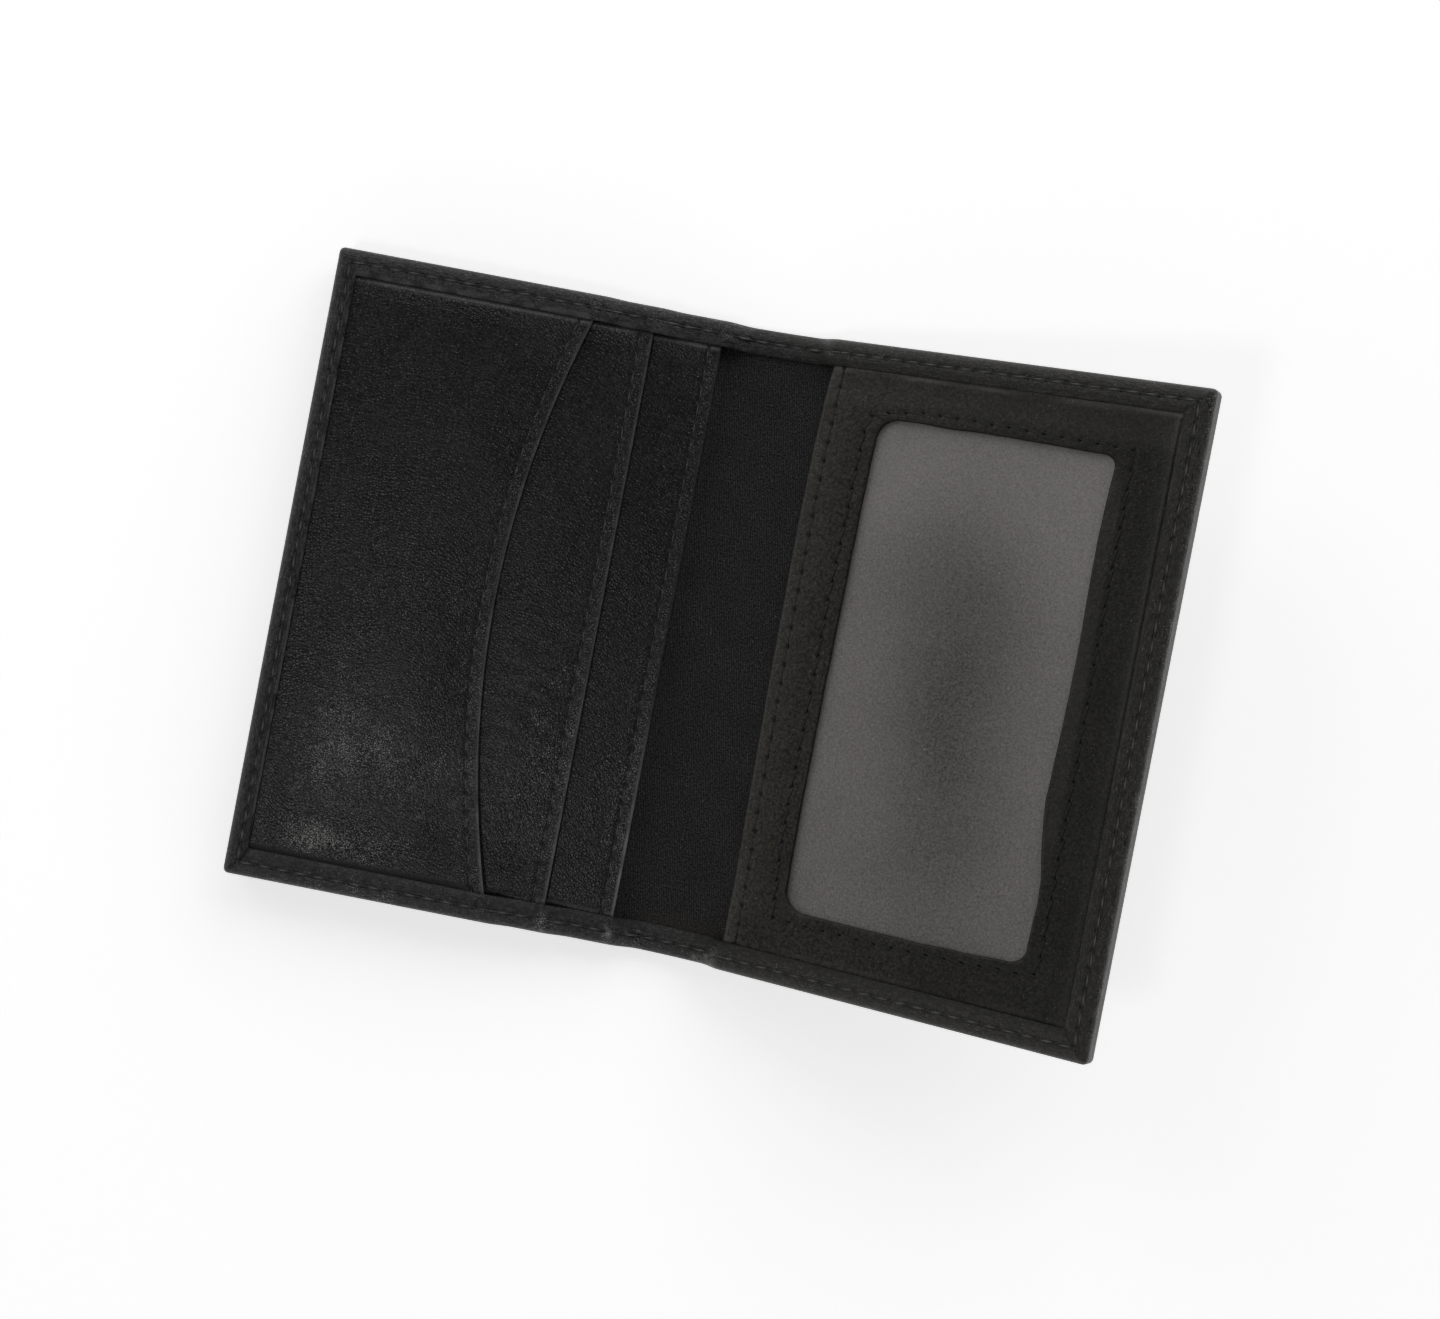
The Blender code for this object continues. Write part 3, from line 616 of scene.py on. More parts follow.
@dataclass(frozen=True)
class Vinyl(Finish):
    """Clear vinyl film, calendered and frosted by years of cards: a milky grey over the dark lining."""

    haze: str = "8a8783"
    scuff: str = "a8a6a2"

    def fixed(self) -> dict:
        """The gloss of PVC, which is nearly lost, and how little shows through."""
        return {"Roughness": 0.5, "IOR": 1.53, "Alpha": 0.92}

    def fed(self, tree: Tree) -> dict:
        """Milky haze with fine grit, a few brighter scuffs, and painted shade where the film's mark is
        high.

        Args:
            tree: The node tree.

        Returns:
            What feeds each input of the shader.
        """
        place = add_node(tree, "ShaderNodeTexCoord").outputs["Object"]
        fine = {"Scale": 1 / (0.35 * MM), "Detail": 2.0, "Roughness": 0.7}
        grit = add_node(tree, "ShaderNodeTexNoise", fine, {"Vector": place})
        broad = {"Scale": 1 / (14 * MM), "Detail": 2.0}
        haze = add_node(tree, "ShaderNodeTexNoise", broad, {"Vector": place})
        specks = add_node(tree, "ShaderNodeTexVoronoi", {"Scale": 1 / (5 * MM)}, {"Vector": place})
        settings = dict(zip(MAP, (0.02, 0.05, 0.5, 0.0)))
        dots = add_node(tree, "ShaderNodeMapRange", settings, {"Value": specks})
        painted_film_shade = add_node(tree, "ShaderNodeAttribute", {"attribute_name": "wear_dust_and_painted_light"}).outputs["Fac"]
        settings = {"operation": "MULTIPLY_ADD", 1: 1.3, 2: 0.25}
        cloud = add_node(tree, "ShaderNodeMath", settings, {0: grit})
        # Where the film's mark is high the haze is darker: painted shade.
        for share, source in ((-0.62, painted_film_shade), (0.25, haze)):
            settings = {"operation": "MULTIPLY_ADD", 1: share}
            cloud = add_node(tree, "ShaderNodeMath", settings, {0: source, 2: cloud})
        settings = {"operation": "SCALE", 0: linear(self.haze)[:3]}
        milky = add_node(tree, "ShaderNodeVectorMath", settings, {"Scale": cloud})
        settings = {"data_type": "RGBA", "B": linear(self.scuff)}
        speckled = add_node(tree, "ShaderNodeMix", settings, {"Factor": dots, "A": milky})
        settings = {"Strength": 0.35, "Distance": 0.02 * MM}
        bump = add_node(tree, "ShaderNodeBump", settings, {"Height": grit})
        return {"Base Color": speckled, "Normal": bump}


@dataclass(frozen=True)
class Thread(Finish):
    """Black spun polyester sewing thread: two plies laid in a steep twist, dull with a soft gleam."""

    # The groove colour paints the shade between the two plies.
    groove: str = "050505"
    ply: str = "181818"

    def fixed(self) -> dict:
        """Spun thread has a soft shine."""
        return {"Roughness": 0.6}

    def fed(self, tree: Tree) -> dict:
        """The twist, which comes from each stitch's own strand attribute.

        Args:
            tree: The node tree.

        Returns:
            What feeds each input of the shader.
        """
        strand = add_node(tree, "ShaderNodeAttribute", {"attribute_name": "strand"}).outputs["Fac"]
        turn = add_node(tree, "ShaderNodeMath", {"operation": "MULTIPLY", 1: 2 * math.pi}, {0: strand})
        wave = add_node(tree, "ShaderNodeMath", {"operation": "SINE"}, {0: turn})
        ridge = add_node(tree, "ShaderNodeMapRange", {"From Min": -1.0}, {"Value": wave})
        settings = {"data_type": "RGBA", "A": linear(self.groove), "B": linear(self.ply)}
        colour = add_node(tree, "ShaderNodeMix", settings, {"Factor": ridge})
        settings = {"Strength": 0.7, "Distance": 0.06 * MM}
        bump = add_node(tree, "ShaderNodeBump", settings, {"Height": ridge})
        return {"Base Color": colour, "Normal": bump}


@dataclass(frozen=True)
class Board(Finish):
    """Bonded leather board: pressed fibres, brown-grey and matte, with darker flecks."""

    fleck: str = "3f3830"
    fibre: str = "6d6258"

    def fixed(self) -> dict:
        """Raw board has no shine."""
        return {"Roughness": 0.9}

    def fed(self, tree: Tree) -> dict:
        """The pressed fibres.

        Args:
            tree: The node tree.

        Returns:
            What feeds each input of the shader.
        """
        place = add_node(tree, "ShaderNodeTexCoord").outputs["Object"]
        settings = {"Scale": 1 / (0.6 * MM), "Detail": 5.0, "Roughness": 0.7}
        fleck = add_node(tree, "ShaderNodeTexNoise", settings, {"Vector": place})
        settings = {"data_type": "RGBA", "A": linear(self.fleck), "B": linear(self.fibre)}
        colour = add_node(tree, "ShaderNodeMix", settings, {"Factor": fleck})
        settings = {"Strength": 0.5, "Distance": 0.05 * MM}
        bump = add_node(tree, "ShaderNodeBump", settings, {"Height": fleck})
        return {"Base Color": colour, "Normal": bump}


@dataclass(frozen=True)
class Paper(Finish):
    """White seamless paper under and behind the holder: matt, and lit until it is nearly white."""

    pulp: str = "f0f0f0"
    tone: str = "f4f4f4"

    def fixed(self) -> dict:
        """The paper's own light stands for the lamps that shine on the backdrop alone."""
        return {"Roughness": 0.9, "Emission Color": linear("ffffff"), "Emission Strength": 0.6}

    def fed(self, tree: Tree) -> dict:
        """Faint pulp.

        Args:
            tree: The node tree.

        Returns:
            What feeds each input of the shader.
        """
        place = add_node(tree, "ShaderNodeTexCoord").outputs["Object"]
        settings = {"Scale": 1 / (2 * MM), "Detail": 2.0}
        pulp = add_node(tree, "ShaderNodeTexNoise", settings, {"Vector": place})
        settings = {"data_type": "RGBA", "A": linear(self.pulp), "B": linear(self.tone)}
        return {"Base Color": add_node(tree, "ShaderNodeMix", settings, {"Factor": pulp})}


@dataclass(frozen=True)
class Seam:
    """A run of stitches: the holes they share in the flat pattern, and the thread's thickness.

    slant is how far each stitch leans across the seam, and face is 1 on the inside of the holder
    and -1 on the outside.
    """

    holes: Array
    closed: bool = False
    thread: float = 0.36
    slant: float = 0.0
    face: int = 1

    def stitches(self) -> tuple[Array, Array, Array]:
        """Where the stitches lie.

        Returns:
            The middle, reach and upward direction of each stitch, at rest.
        """
        ends = np.concatenate((self.holes, self.holes[:1])) if self.closed else self.holes
        first, second = ends[:-1], ends[1:]
        along = second - first
        across = np.stack((-along[:, 1], along[:, 0], np.zeros(len(along))), axis=-1)
        lean = self.slant * across / np.linalg.norm(across, axis=-1, keepdims=True)
        first, second = first + lean, second - lean
        start, end = FOLD.place(first), FOLD.place(second)
        return (start + end) / 2, end - start, FOLD.up((first + second)[:, 0] / 2) * self.face


class StitchMaker:
    """Sews seams with one Geometry Nodes tree: it lays an arched, twisted thread on each point."""

    LENGTH, THICKNESS, SEED = "Stitch length share", "Thread thickness", "Seed"
    SPAN = 0.97  # a stitch's share of the way between its holes
    TWIST = 5.0  # turns of the two plies in one stitch

    def __init__(self, material: Material) -> None:
        """Takes the thread's material and builds the tree."""
        self.material = material
        self.tree = self.build()

    def build(self) -> Tree:
        """Builds the tree, with named inputs for its sizes.

        Returns:
            The tree, which takes points with the attributes reach and upward.
        """
        tree = bpy.data.node_groups.new("lay_stitches", "GeometryNodeTree")
        kinds = {"Geometry": "Geometry", self.LENGTH: "Float", self.THICKNESS: "Float", self.SEED: "Int"}
        for label, kind in kinds.items():
            tree.interface.new_socket(label, in_out="INPUT", socket_type="NodeSocket" + kind)
        tree.interface.new_socket("Geometry", in_out="OUTPUT", socket_type="NodeSocketGeometry")
        given = add_node(tree, "NodeGroupInput").outputs
        bow = {"Start": (-0.5, 0.0, -0.62), "Middle": (0.0, 0.0, 0.85), "End": (0.5, 0.0, -0.62)}
        arch = add_node(tree, "GeometryNodeCurveQuadraticBezier", {"Resolution": 6, **bow})
        ring = add_node(tree, "GeometryNodeCurvePrimitiveCircle", {"Resolution": 6, "Radius": 0.5})
        noted = []
        for label, curve in (("along", arch), ("around", ring)):
            note = add_node(tree, "GeometryNodeCaptureAttribute", {"domain": "POINT"}, {"Geometry": curve})
            note.capture_items.new("FLOAT", label)
            connect(tree, add_node(tree, "GeometryNodeSplineParameter"), note.inputs[label])
            noted.append(note.outputs)
        along, around = noted
        curves = {"Curve": along["Geometry"], "Profile Curve": around["Geometry"]}
        tube = add_node(tree, "GeometryNodeCurveToMesh", {"Fill Caps": True}, curves)
        plies = {0: along["along"], 2: around["around"]}
        twist = add_node(tree, "ShaderNodeMath", {"operation": "MULTIPLY_ADD", 1: self.TWIST}, plies)
        settings = {"data_type": "FLOAT", "domain": "POINT", "Name": "strand"}
        drawn = {"Geometry": tube, "Value": twist}
        marked = add_node(tree, "GeometryNodeStoreNamedAttribute", settings, drawn)
        reach, upward = (
            add_node(tree, "GeometryNodeInputNamedAttribute", {"data_type": "FLOAT_VECTOR", "Name": label})
            for label in ("reach", "upward")
        )
        lengthwise = add_node(tree, "FunctionNodeAlignRotationToVector", {"axis": "X"}, {"Vector": reach})
        turned = {"Rotation": lengthwise, "Vector": upward}
        settings = {"axis": "Z", "pivot_axis": "X"}
        upright = add_node(tree, "FunctionNodeAlignRotationToVector", settings, turned)
        uneven = {"data_type": "FLOAT", 2: 0.88, 3: 1.1}
        bulk = add_node(tree, "FunctionNodeRandomValue", uneven, {"Seed": given[self.SEED]})
        span = add_node(tree, "ShaderNodeVectorMath", {"operation": "LENGTH"}, {0: reach})
        length, thickness = (
            add_node(tree, "ShaderNodeMath", {"operation": "MULTIPLY"}, {0: size, 1: given[label]})
            for size, label in ((span, self.LENGTH), (bulk, self.THICKNESS))
        )
        scale = add_node(tree, "ShaderNodeCombineXYZ", {}, {0: length, 1: thickness, 2: thickness})
        placed = {"Points": given["Geometry"], "Instance": marked, "Rotation": upright, "Scale": scale}
        made = add_node(tree, "GeometryNodeInstanceOnPoints", {}, placed)
        for kind, settings in (
            ("GeometryNodeRealizeInstances", {}),
            ("GeometryNodeSetShadeSmooth", {"Shade Smooth": True}),
            ("GeometryNodeSetMaterial", {"Material": self.material}),
            ("NodeGroupOutput", {}),
        ):
            made = add_node(tree, kind, settings, {"Geometry": made})
        return tree

    def sew(self, name: str, seams: Sequence[Seam], seed: int) -> Obj:
        """Makes one plain mesh of all stitches of some seams.

        Args:
            name: The piece's name.
            seams: The seams, all of one body or of one bending stretch.
            seed: Picks how uneven the stitches are.

        Returns:
            The stitches' object.
        """
        rows = [seam.stitches() for seam in seams]
        middles, reaches, upwards = (np.concatenate([row[k] for row in rows]) for k in range(3))
        mesh = bpy.data.meshes.new(name + "_points")
        mesh.from_pydata(middles.tolist(), [], [])
        for label, values in (("reach", reaches), ("upward", upwards)):
            mesh.attributes.new(label, "FLOAT_VECTOR", "POINT").data.foreach_set("vector", values.ravel())
        guide = shown(name + "_points", mesh)
        modifier = guide.modifiers.new("stitches", "NODES")
        modifier.node_group = self.tree
        items = self.tree.interface.items_tree
        sockets = {item.name: item.identifier for item in items if item.in_out == "INPUT"}
        modifier[sockets[self.LENGTH]] = self.SPAN
        modifier[sockets[self.THICKNESS]] = seams[0].thread * MM
        modifier[sockets[self.SEED]] = seed
        graph = bpy.context.evaluated_depsgraph_get()
        made = bpy.data.meshes.new_from_object(guide.evaluated_get(graph))
        made.name = name
        bpy.data.objects.remove(guide)
        return shown(name, made)


@dataclass(frozen=True)
class Chain:
    """The cover's cross-section through a hem, as points from the outside round to the inside.

    Each point has its distance from the outer edge, its height above the underside, and the
    share of the hem's own height that is added to that.
    """

    inset: Array
    rise: Array
    share: Array


@dataclass
class Cover:
    """The outside leather with its turned-in hems: one skin that runs over both panels.

    A step is where the hem rises by some height, as distance from the spine's middle and height.
    Lip ends and rough spots are places across the holder where the hem is crumpled or has lost its pigment,
    and a chip is a pale spot without pigment, with its middle (u, y), size and amount.
    """

    hide: Material
    half_width: float = 72.4
    half_height: float = 51.0
    corner: float = 0.9
    leather: float = 0.8
    plate: float = 8.0
    seam_inset: float = 2.2
    seam_end: float = 2.8
    hem_top: float = 4.2
    hem_bottom: float = 4.6
    hem_left: float = 3.4
    hem_right: float = 4.4
    spine_level: float = 2.3
    skive: float = 0.55
    slope: float = 4.5
    left_steps: tuple[Pair, ...] = ((9.307, 2.2), (20.407, 1.45), (29.389, 1.45))
    right_steps: tuple[Pair, ...] = ((10.704, 1.95),)
    end_stitches: int = 22
    side_stitches: int = 33
    spine_stitches: int = 3
    lip_ends: tuple[float, ...] = (-30.2, -20.6, -9.5)
    rough_spots: tuple[float, ...] = (-20.6, -9.5, -5.0, 6.0, 9.0)
    chips: tuple[tuple[float, float, float, float], ...] = (
        (-9.8, -49.2, 0.5, 1.0),
        (-10.3, -48.3, 0.35, 0.7),
        (-6.9, -48.6, 0.4, 0.5),
        (5.2, -50.1, 0.4, 0.7),
        (7.6, -49.4, 0.45, 0.7),
    )

    def hem_level(self, u: Array) -> Array:
        """Height of the hem's upper face, which steps down towards the spine.

        Args:
            u: Place across the holder.

        Returns:
            The height at each u.
        """
        level = np.full(np.shape(u), self.spine_level)
        for side, steps in ((-1, self.left_steps), (1, self.right_steps)):
            for place, rise in steps:
                level = level + rise * smooth((side * u - place + self.slope) / self.slope)
        return level

    def section(self, width: float) -> Chain:
        """The cross-section: outside leather, rounded edge, hem with its seam, and back inside.

        Args:
            width: How wide the hem is.

        Returns:
            The chain of points.
        """
        seam, cover, end = self.seam_inset, self.leather, self.seam_end
        outer = [(self.plate, 0, 0), (5.5, 0, 0), (4.2, 0, 0), (3.4, 0, 0), (2.9, 0.03, 0)]
        outer += [(seam + k * 0.22, 0.2 - 0.07 * abs(k), 0) for k in (2, 1, 0, -1, -2)]
        outer += [(1.45, 0.01, 0), (1.0, 0, 0)]
        outer += [(a, h, 0) for a, h in self.rounding(0.9, 5)]
        outer += [(0.0, 0.9 - 2.1 * k, k) for k in (0.2, 0.4, 0.6, 0.8)]
        outer += [(1.4 * a, -h, 1) for a, h in reversed(self.rounding(1.2, 7))]
        outer += [(seam + k * 0.2, 0.05 * abs(k) - 0.12, 1) for k in (-2, -1, 0, 1, 2)]
        outer += [(end, 0.0, 1)]
        outer += [(end + (width - end) * k, -self.skive * k * k, 1) for k in (0.3, 0.6, 0.85)]
        outer += [(width - 0.04, -self.skive - 0.03, 1), (width, -self.skive - 0.1, 1)]
        inner = [(width - 0.03, -0.76, 1), (width - 0.25, -cover, 1), (1.6, -cover, 1)]
        inner += [(cover + 0.1, -1.1, 1), (cover + 0.1, 1.1, 0), (1.6, cover, 0), (self.plate, cover, 0)]
        return Chain(*np.array(outer + inner).T)

    @staticmethod
    def rounding(radius: float, steps: int) -> list[Pair]:
        """A quarter round from the underside to the edge."""
        turns = [math.pi / 2 * k / steps for k in range(steps + 1)]
        return [(radius * (1 - math.sin(t)), radius * (1 - math.cos(t))) for t in turns]

    def widened(self, chain: Chain, width: float, wanted: float) -> Array:
        """Insets of a chain whose hem is made wider from the seam inwards.

        Args:
            chain: The chain.
            width: Its hem's width.
            wanted: The width that the hem gets.

        Returns:
            The insets.
        """
        grow = smooth((chain.inset - self.seam_end) / (width - self.seam_end))
        return chain.inset + grow * (chain.inset <= width + 1e-6) * (wanted - width)

    def relief(self, along: Array, across: Array, u: Array, y: Array, share: Array) -> tuple[Array, Array]:
        """How far the hem's upper face and the underside are pushed in, and how dark they are there.

        Args:
            along: Number of stitches from the start of the seam.
            across: Distance from the outer edge.
            u: Place across the holder.
            y: Place along the spine.
            share: 1 on the hem and 0 on the underside.

        Returns:
            The depth, and the crevice mark, which paints shade into the stitch holes and the folds.
        """
        hole = punch(along, across - self.seam_inset)
        crumple = sum(bell(u - place, 1.8) for place in self.lip_ends) * smooth((across - 1.4) / 1.2)
        folds = ripple(u, y, 0.85, 6.6) * crumple * share
        waves = ripple(u * 0.6, y * 0.6, 3.2, 3.7) * 0.06 + ripple(u, y, 1.1, 8.1) * 0.035
        waves = waves + ripple(u, y * 0.2, 1.3, 2.9) * 0.12 * smooth((13 - abs(u)) / 4) * share
        waves = waves + 0.3 * folds
        depth = 0.3 * hole + waves * smooth((across - 0.3) / 0.8) * (0.35 + 0.65 * share)
        # Painted shade in the stitch holes and in the folds.
        return depth, np.clip(hole * 1.4 + 1.3 * np.maximum(folds, 0), 0, 1)

    def scuffs_and_glints(self, inset: Array, u: Array, y: Array, share: Array) -> Array:
        """Painted glints a little all over, wear more on the rim and at the lip ends, and a painted
        highlight on the lower hem towards the left.

        Args:
            inset: Distance from the outer edge.
            u: Place across the holder.
            y: Place along the spine.
            share: 1 on the hem and 0 on the underside.

        Returns:
            The rub mark: lost pigment, painted glints and a painted highlight.
        """
        patchy = 0.5 + 0.5 * ripple(u + 7 * share, y + 5 * share, 2.0, 5.5)
        ends = sum(bell(u - place, 1.5) for place in self.lip_ends)
        lower = sum(bell(u - place, 0.9) for place in self.rough_spots) * smooth((-y - 46.8) / 1.5)
        # A painted highlight on the lower hem towards the left.
        corner = bell(u + 50, 14) * smooth(-y - 46) * smooth(patchy)
        wear_and_painted_highlight = 0.3 * ends + 0.6 * lower * (0.4 + patchy) + 0.5 * bell(inset, 0.5) * patchy + 0.5 * corner
        # 0.45 of the patchy noise paints sparse glints all over.
        return 0.45 * patchy + wear_and_painted_highlight * self.off_wall(share)

    @staticmethod
    def off_wall(share: Array) -> Array:
        """1 on the faces and the rounded rims, and little on the upright side between them."""
        return np.where((share > 0.1) & (share < 0.9), 0.25, 1.0)

    def shine(self, inset: Array, width: float, u: Array, y: Array, share: Array) -> Array:
        """Where highlights are painted on the hem's inner edge and outer rounding, in broken lines, and
        where chips have lost their pigment.

        Args:
            inset: Distance from the outer edge.
            width: The hem's width.
            u: Place across the holder.
            y: Place along the spine.
            share: 1 on the hem and 0 on the underside.

        Returns:
            The gleam mark: painted highlights, and the chips.
        """
        broken = smooth(0.5 + 1.6 * ripple(u, y, 2.6, 4.9))
        # Painted highlight along the hem's inner edge, weaker on the lower hem and stronger towards the
        # left.
        line = bell(inset - width + 0.15, 0.16) * (share > 0.99) * np.where(y < -46, 0.3, 1.0)
        chips = sum(
            amount * bell(np.hypot(u - at_u, y - at_y), size) for at_u, at_y, size, amount in self.chips
        )
        rim = 0.12 * bell(inset, 0.35) * broken * self.off_wall(share)
        return 0.3 * line * broken * (0.4 + 0.6 * smooth(-u / 30)) + rim + chips * (share > 0.5)

    def build(self) -> None:
        """Builds the four stretches of the cover and puts them in place of their CAD nodes."""
        halves = (
            ("cover_left", Zone.LEFT, ("left_cover", "spine_cover_1"), -1, self.hem_left, (0.4, 1.0)),
            ("cover_right", Zone.RIGHT, ("right_cover",), 1, self.hem_right, (0.35, 0.4)),
        )
        for name, zone, nodes, side, width, mitres in halves:
            settle(self.half(name, side, width, mitres), zone, "cover_leather", *nodes)
        strips = (
            ("cover_spine_left", Zone.SPINE_LEFT, "spine_cover_2", -FOLD.pitch, 0.0),
            ("cover_spine_right", Zone.SPINE_RIGHT, "spine_cover_3", 0.0, FOLD.pitch),
        )
        for name, zone, node, first, last in strips:
            settle(self.spine(name, first, last), zone, "cover_leather", node)

    def lay(
        self,
        skin: Skin,
        chain: Chain,
        width: float,
        flat: tuple[Array, Array],
        rows: tuple[Array, Array],
        mitre: Array | float = 0.0,
        shaded: float = 0.0,
    ) -> Array:
        """Adds a grid of the cover to a skin, with its relief and marks.

        Args:
            skin: The skin.
            chain: The cross-section, one column for each of its points.
            width: The hem's width.
            flat: Place across the holder and along the spine, of each point.
            rows: For each row its place along the seam, in stitches, and along the pattern.
            mitre: How deep the corners' joins are.
            shaded: How strong the painted shadow along the lower hem's inner edge is.

        Returns:
            The points' numbers.
        """
        u, y = np.broadcast_arrays(*flat)
        stitch, along = rows
        share, inset = np.broadcast_to(chain.share, u.shape), np.broadcast_to(chain.inset, u.shape)
        depth, crevice = self.relief(stitch[:, None], inset, u, y, share)
        mitre = mitre * smooth((inset - 0.9) / 0.5) * (share > 0.99) * (chain.rise > -0.45)
        n = chain.rise + share * self.hem_level(u) - np.where(share > 0.5, depth + 0.18 * mitre, 0)
        n = n + np.where((share < 0.1) & (chain.rise < 0.3), np.maximum(depth, 0), 0)
        steps = np.diff(chain.inset, prepend=chain.inset[0]), np.diff(chain.rise, prepend=0.0)
        reach = np.cumsum(np.hypot(*steps))
        # Painted shadow along the lower hem's inner edge.
        dark = shaded * smooth((inset / width - 0.66) / 0.3) * (y < -46.3) * (share > 0.99)
        return skin.add(
            np.stack((u, y, n), axis=-1),
            np.stack(np.broadcast_arrays(along[:, None], reach[None, :]), axis=-1),
            # Painted shade in the mitred corners' joins and along the lower hem.
            np.maximum(crevice, 0.7 * mitre) + dark,
            self.scuffs_and_glints(inset, u, y, share),
            self.shine(inset, width, u, y, share),
            smooth((7 - inset) / 2.5),
        )

    def half(self, name: str, side: int, width: float, mitres: Pair) -> Obj:
        """A panel's cover, from the first spine strip's middle round its three outer edges.

        Args:
            name: The piece's name.
            side: -1 for the left panel and 1 for the right one.
            width: The side hem's width.
            mitres: How deep the join at the upper and at the lower corner is.

        Returns:
            The piece.
        """
        chain = self.section(width)
        ends, sides = self.end_stitches * FINE, self.side_stitches * FINE
        top, bottom = (self.widened(chain, width, wanted) for wanted in (self.hem_top, self.hem_bottom))
        radius = np.maximum(self.corner - chain.inset, 0.0)
        rows = [self.end_row(k / ends, chain.inset, top, radius, 1) for k in range(ends + 1)]
        rows += [self.side_row(k / sides, chain.inset, top, bottom, radius) for k in range(1, sides)]
        rows += [self.end_row(k / ends, chain.inset, bottom, radius, -1) for k in range(ends, -1, -1)]
        flat = np.array(rows)
        runs = (np.arange(ends + 1), ends + np.arange(1, sides), ends + sides + np.arange(ends + 1))
        stitch = np.concatenate(runs) / FINE
        corners = (self.end_stitches, self.end_stitches + self.side_stitches)
        mitre = sum(deep * bell((stitch - corner) * PITCH, 0.26) for deep, corner in zip(mitres, corners))
        skin = Skin()
        laid, rows_at = (side * flat[..., 0], flat[..., 1]), (stitch, stitch * PITCH)
        numbers = self.lay(skin, chain, width, laid, rows_at, mitre[:, None], 0.5)
        skin.weave(numbers)
        for column in (0, -1):
            line = numbers[:, column]
            upper, lower = line[: ends + 1], line[: -ends - 2 : -1]
            skin.weave(np.stack((upper[:-1], lower[:-1])))
            skin.faces.append([*upper[-2:], *line[ends + 1 : ends + sides], *lower[-1:], *lower[-2:-1]])
        skin.caps.append([*numbers[0], *numbers[-1][::-1]])
        return skin.piece(name, self.hide)

    def end_row(self, share: float, inset: Array, drop: Array, radius: Array, half: int) -> Array:
        """One row of points across the hem at the holder's top or bottom end.

        Args:
            share: How far along the end the row is.
            inset: The points' distances from the side edge.
            drop: Their distances from the end edge.
            radius: The radius of the corner that each goes round.
            half: 1 at the top and -1 at the bottom.

        Returns:
            The points, with the distance from the spine's middle and y on the last axis.
        """
        corner = self.half_width - inset - radius
        straight = corner - FOLD.pitch
        travelled = share * (straight + radius * math.pi / 4)
        turn = np.where(radius > 0, np.maximum(travelled - straight, 0) / np.maximum(radius, 1e-6), 0)
        a = np.where(turn > 0, corner + radius * np.sin(turn), FOLD.pitch + travelled)
        y = self.half_height - drop - radius * (1 - np.cos(turn))
        return np.stack((a, half * y), axis=-1)

    def side_row(self, share: float, inset: Array, top: Array, bottom: Array, radius: Array) -> Array:
        """One row of points across the hem at the holder's outer side.

        Args:
            share: How far down the side the row is.
            inset: The points' distances from the side edge.
            top: Their distances from the top edge.
            bottom: Their distances from the bottom edge.
            radius: The radius of the corners that each goes round.

        Returns:
            The points, with the distance from the spine's middle and y on the last axis.
        """
        arc = radius * math.pi / 4
        high, low = self.half_height - top - radius, -(self.half_height - bottom - radius)
        travelled = share * (high - low + 2 * arc)
        safe = np.maximum(radius, 1e-6)
        before = np.where(radius > 0, np.maximum(arc - travelled, 0) / safe, 0)
        after = np.where(radius > 0, np.maximum(travelled - arc - (high - low), 0) / safe, 0)
        a = self.half_width - inset - radius * (1 - np.cos(before + after))
        y = np.clip(high - (travelled - arc), low, high) + radius * (np.sin(before) - np.sin(after))
        return np.stack((a, y), axis=-1)

    def spine(self, name: str, first: float, last: float) -> Obj:
        """A stretch of the cover over the spine, with both end hems.

        Args:
            name: The piece's name.
            first: Its left end, in u.
            last: Its right end.

        Returns:
            The piece.
        """
        skin = Skin()
        u = np.linspace(first, last, 3 * FINE // 2 + 1)
        stitch = (u + FOLD.pitch) / (2 * FOLD.pitch) * self.spine_stitches
        chain = self.section(self.hem_top)
        bottom = self.widened(chain, self.hem_top, self.hem_bottom)
        upper, lower = (
            self.lay(skin, chain, self.hem_top, (u[:, None], half * (self.half_height - drop)), (stitch, u))
            for half, drop in ((1, chain.inset), (-1, bottom))
        )
        ring = np.concatenate((upper, lower[:, ::-1], upper[:, :1]), axis=1)
        skin.weave(ring)
        for row in (0, -1):
            skin.caps.append(ring[row, :-1].tolist())
        return skin.piece(name, self.hide)

    def seams(self) -> dict[Zone, list[Seam]]:
        """The edge seam's holes.

        Returns:
            The seams on both faces, by the stretch that they bend with.
        """
        found: dict[Zone, list[Seam]] = {zone: [] for zone in Zone}
        x_end, y_end = self.half_width - self.seam_inset, self.half_height - self.seam_inset
        run = np.linspace(FOLD.pitch, x_end, self.end_stitches + 1)
        down = np.linspace(y_end, -y_end, self.side_stitches + 1)
        over = np.linspace(-FOLD.pitch, FOLD.pitch, self.spine_stitches + 1)
        for face, height in ((1, -0.2), (-1, 0.22)):
            for zone, side in ((Zone.LEFT, -1), (Zone.RIGHT, 1)):
                lines = [(side * run, 0 * run + half * y_end) for half in (1, -1)]
                lines.append((0 * down + side * x_end, down))
                found[zone] += [self.on_face(*line, face, height) for line in lines]
            for half in (1, -1):
                for zone, holes in ((Zone.SPINE_LEFT, over[:3]), (Zone.SPINE_RIGHT, over[2:])):
                    found[zone].append(self.on_face(holes, 0 * holes + half * y_end, face, height))
        return found

    def on_face(self, u: Array, y: Array, face: int, height: float) -> Seam:
        """A seam on the hem, or on the outside of the cover.

        Args:
            u: The holes' places across the holder.
            y: Their places along the spine.
            face: 1 on the hem and -1 on the outside.
            height: How far above that face the thread's middle lies.

        Returns:
            The seam.
        """
        level = self.hem_level(u) if face > 0 else 0 * u
        return Seam(np.column_stack((u, y, level + height)), face=face)


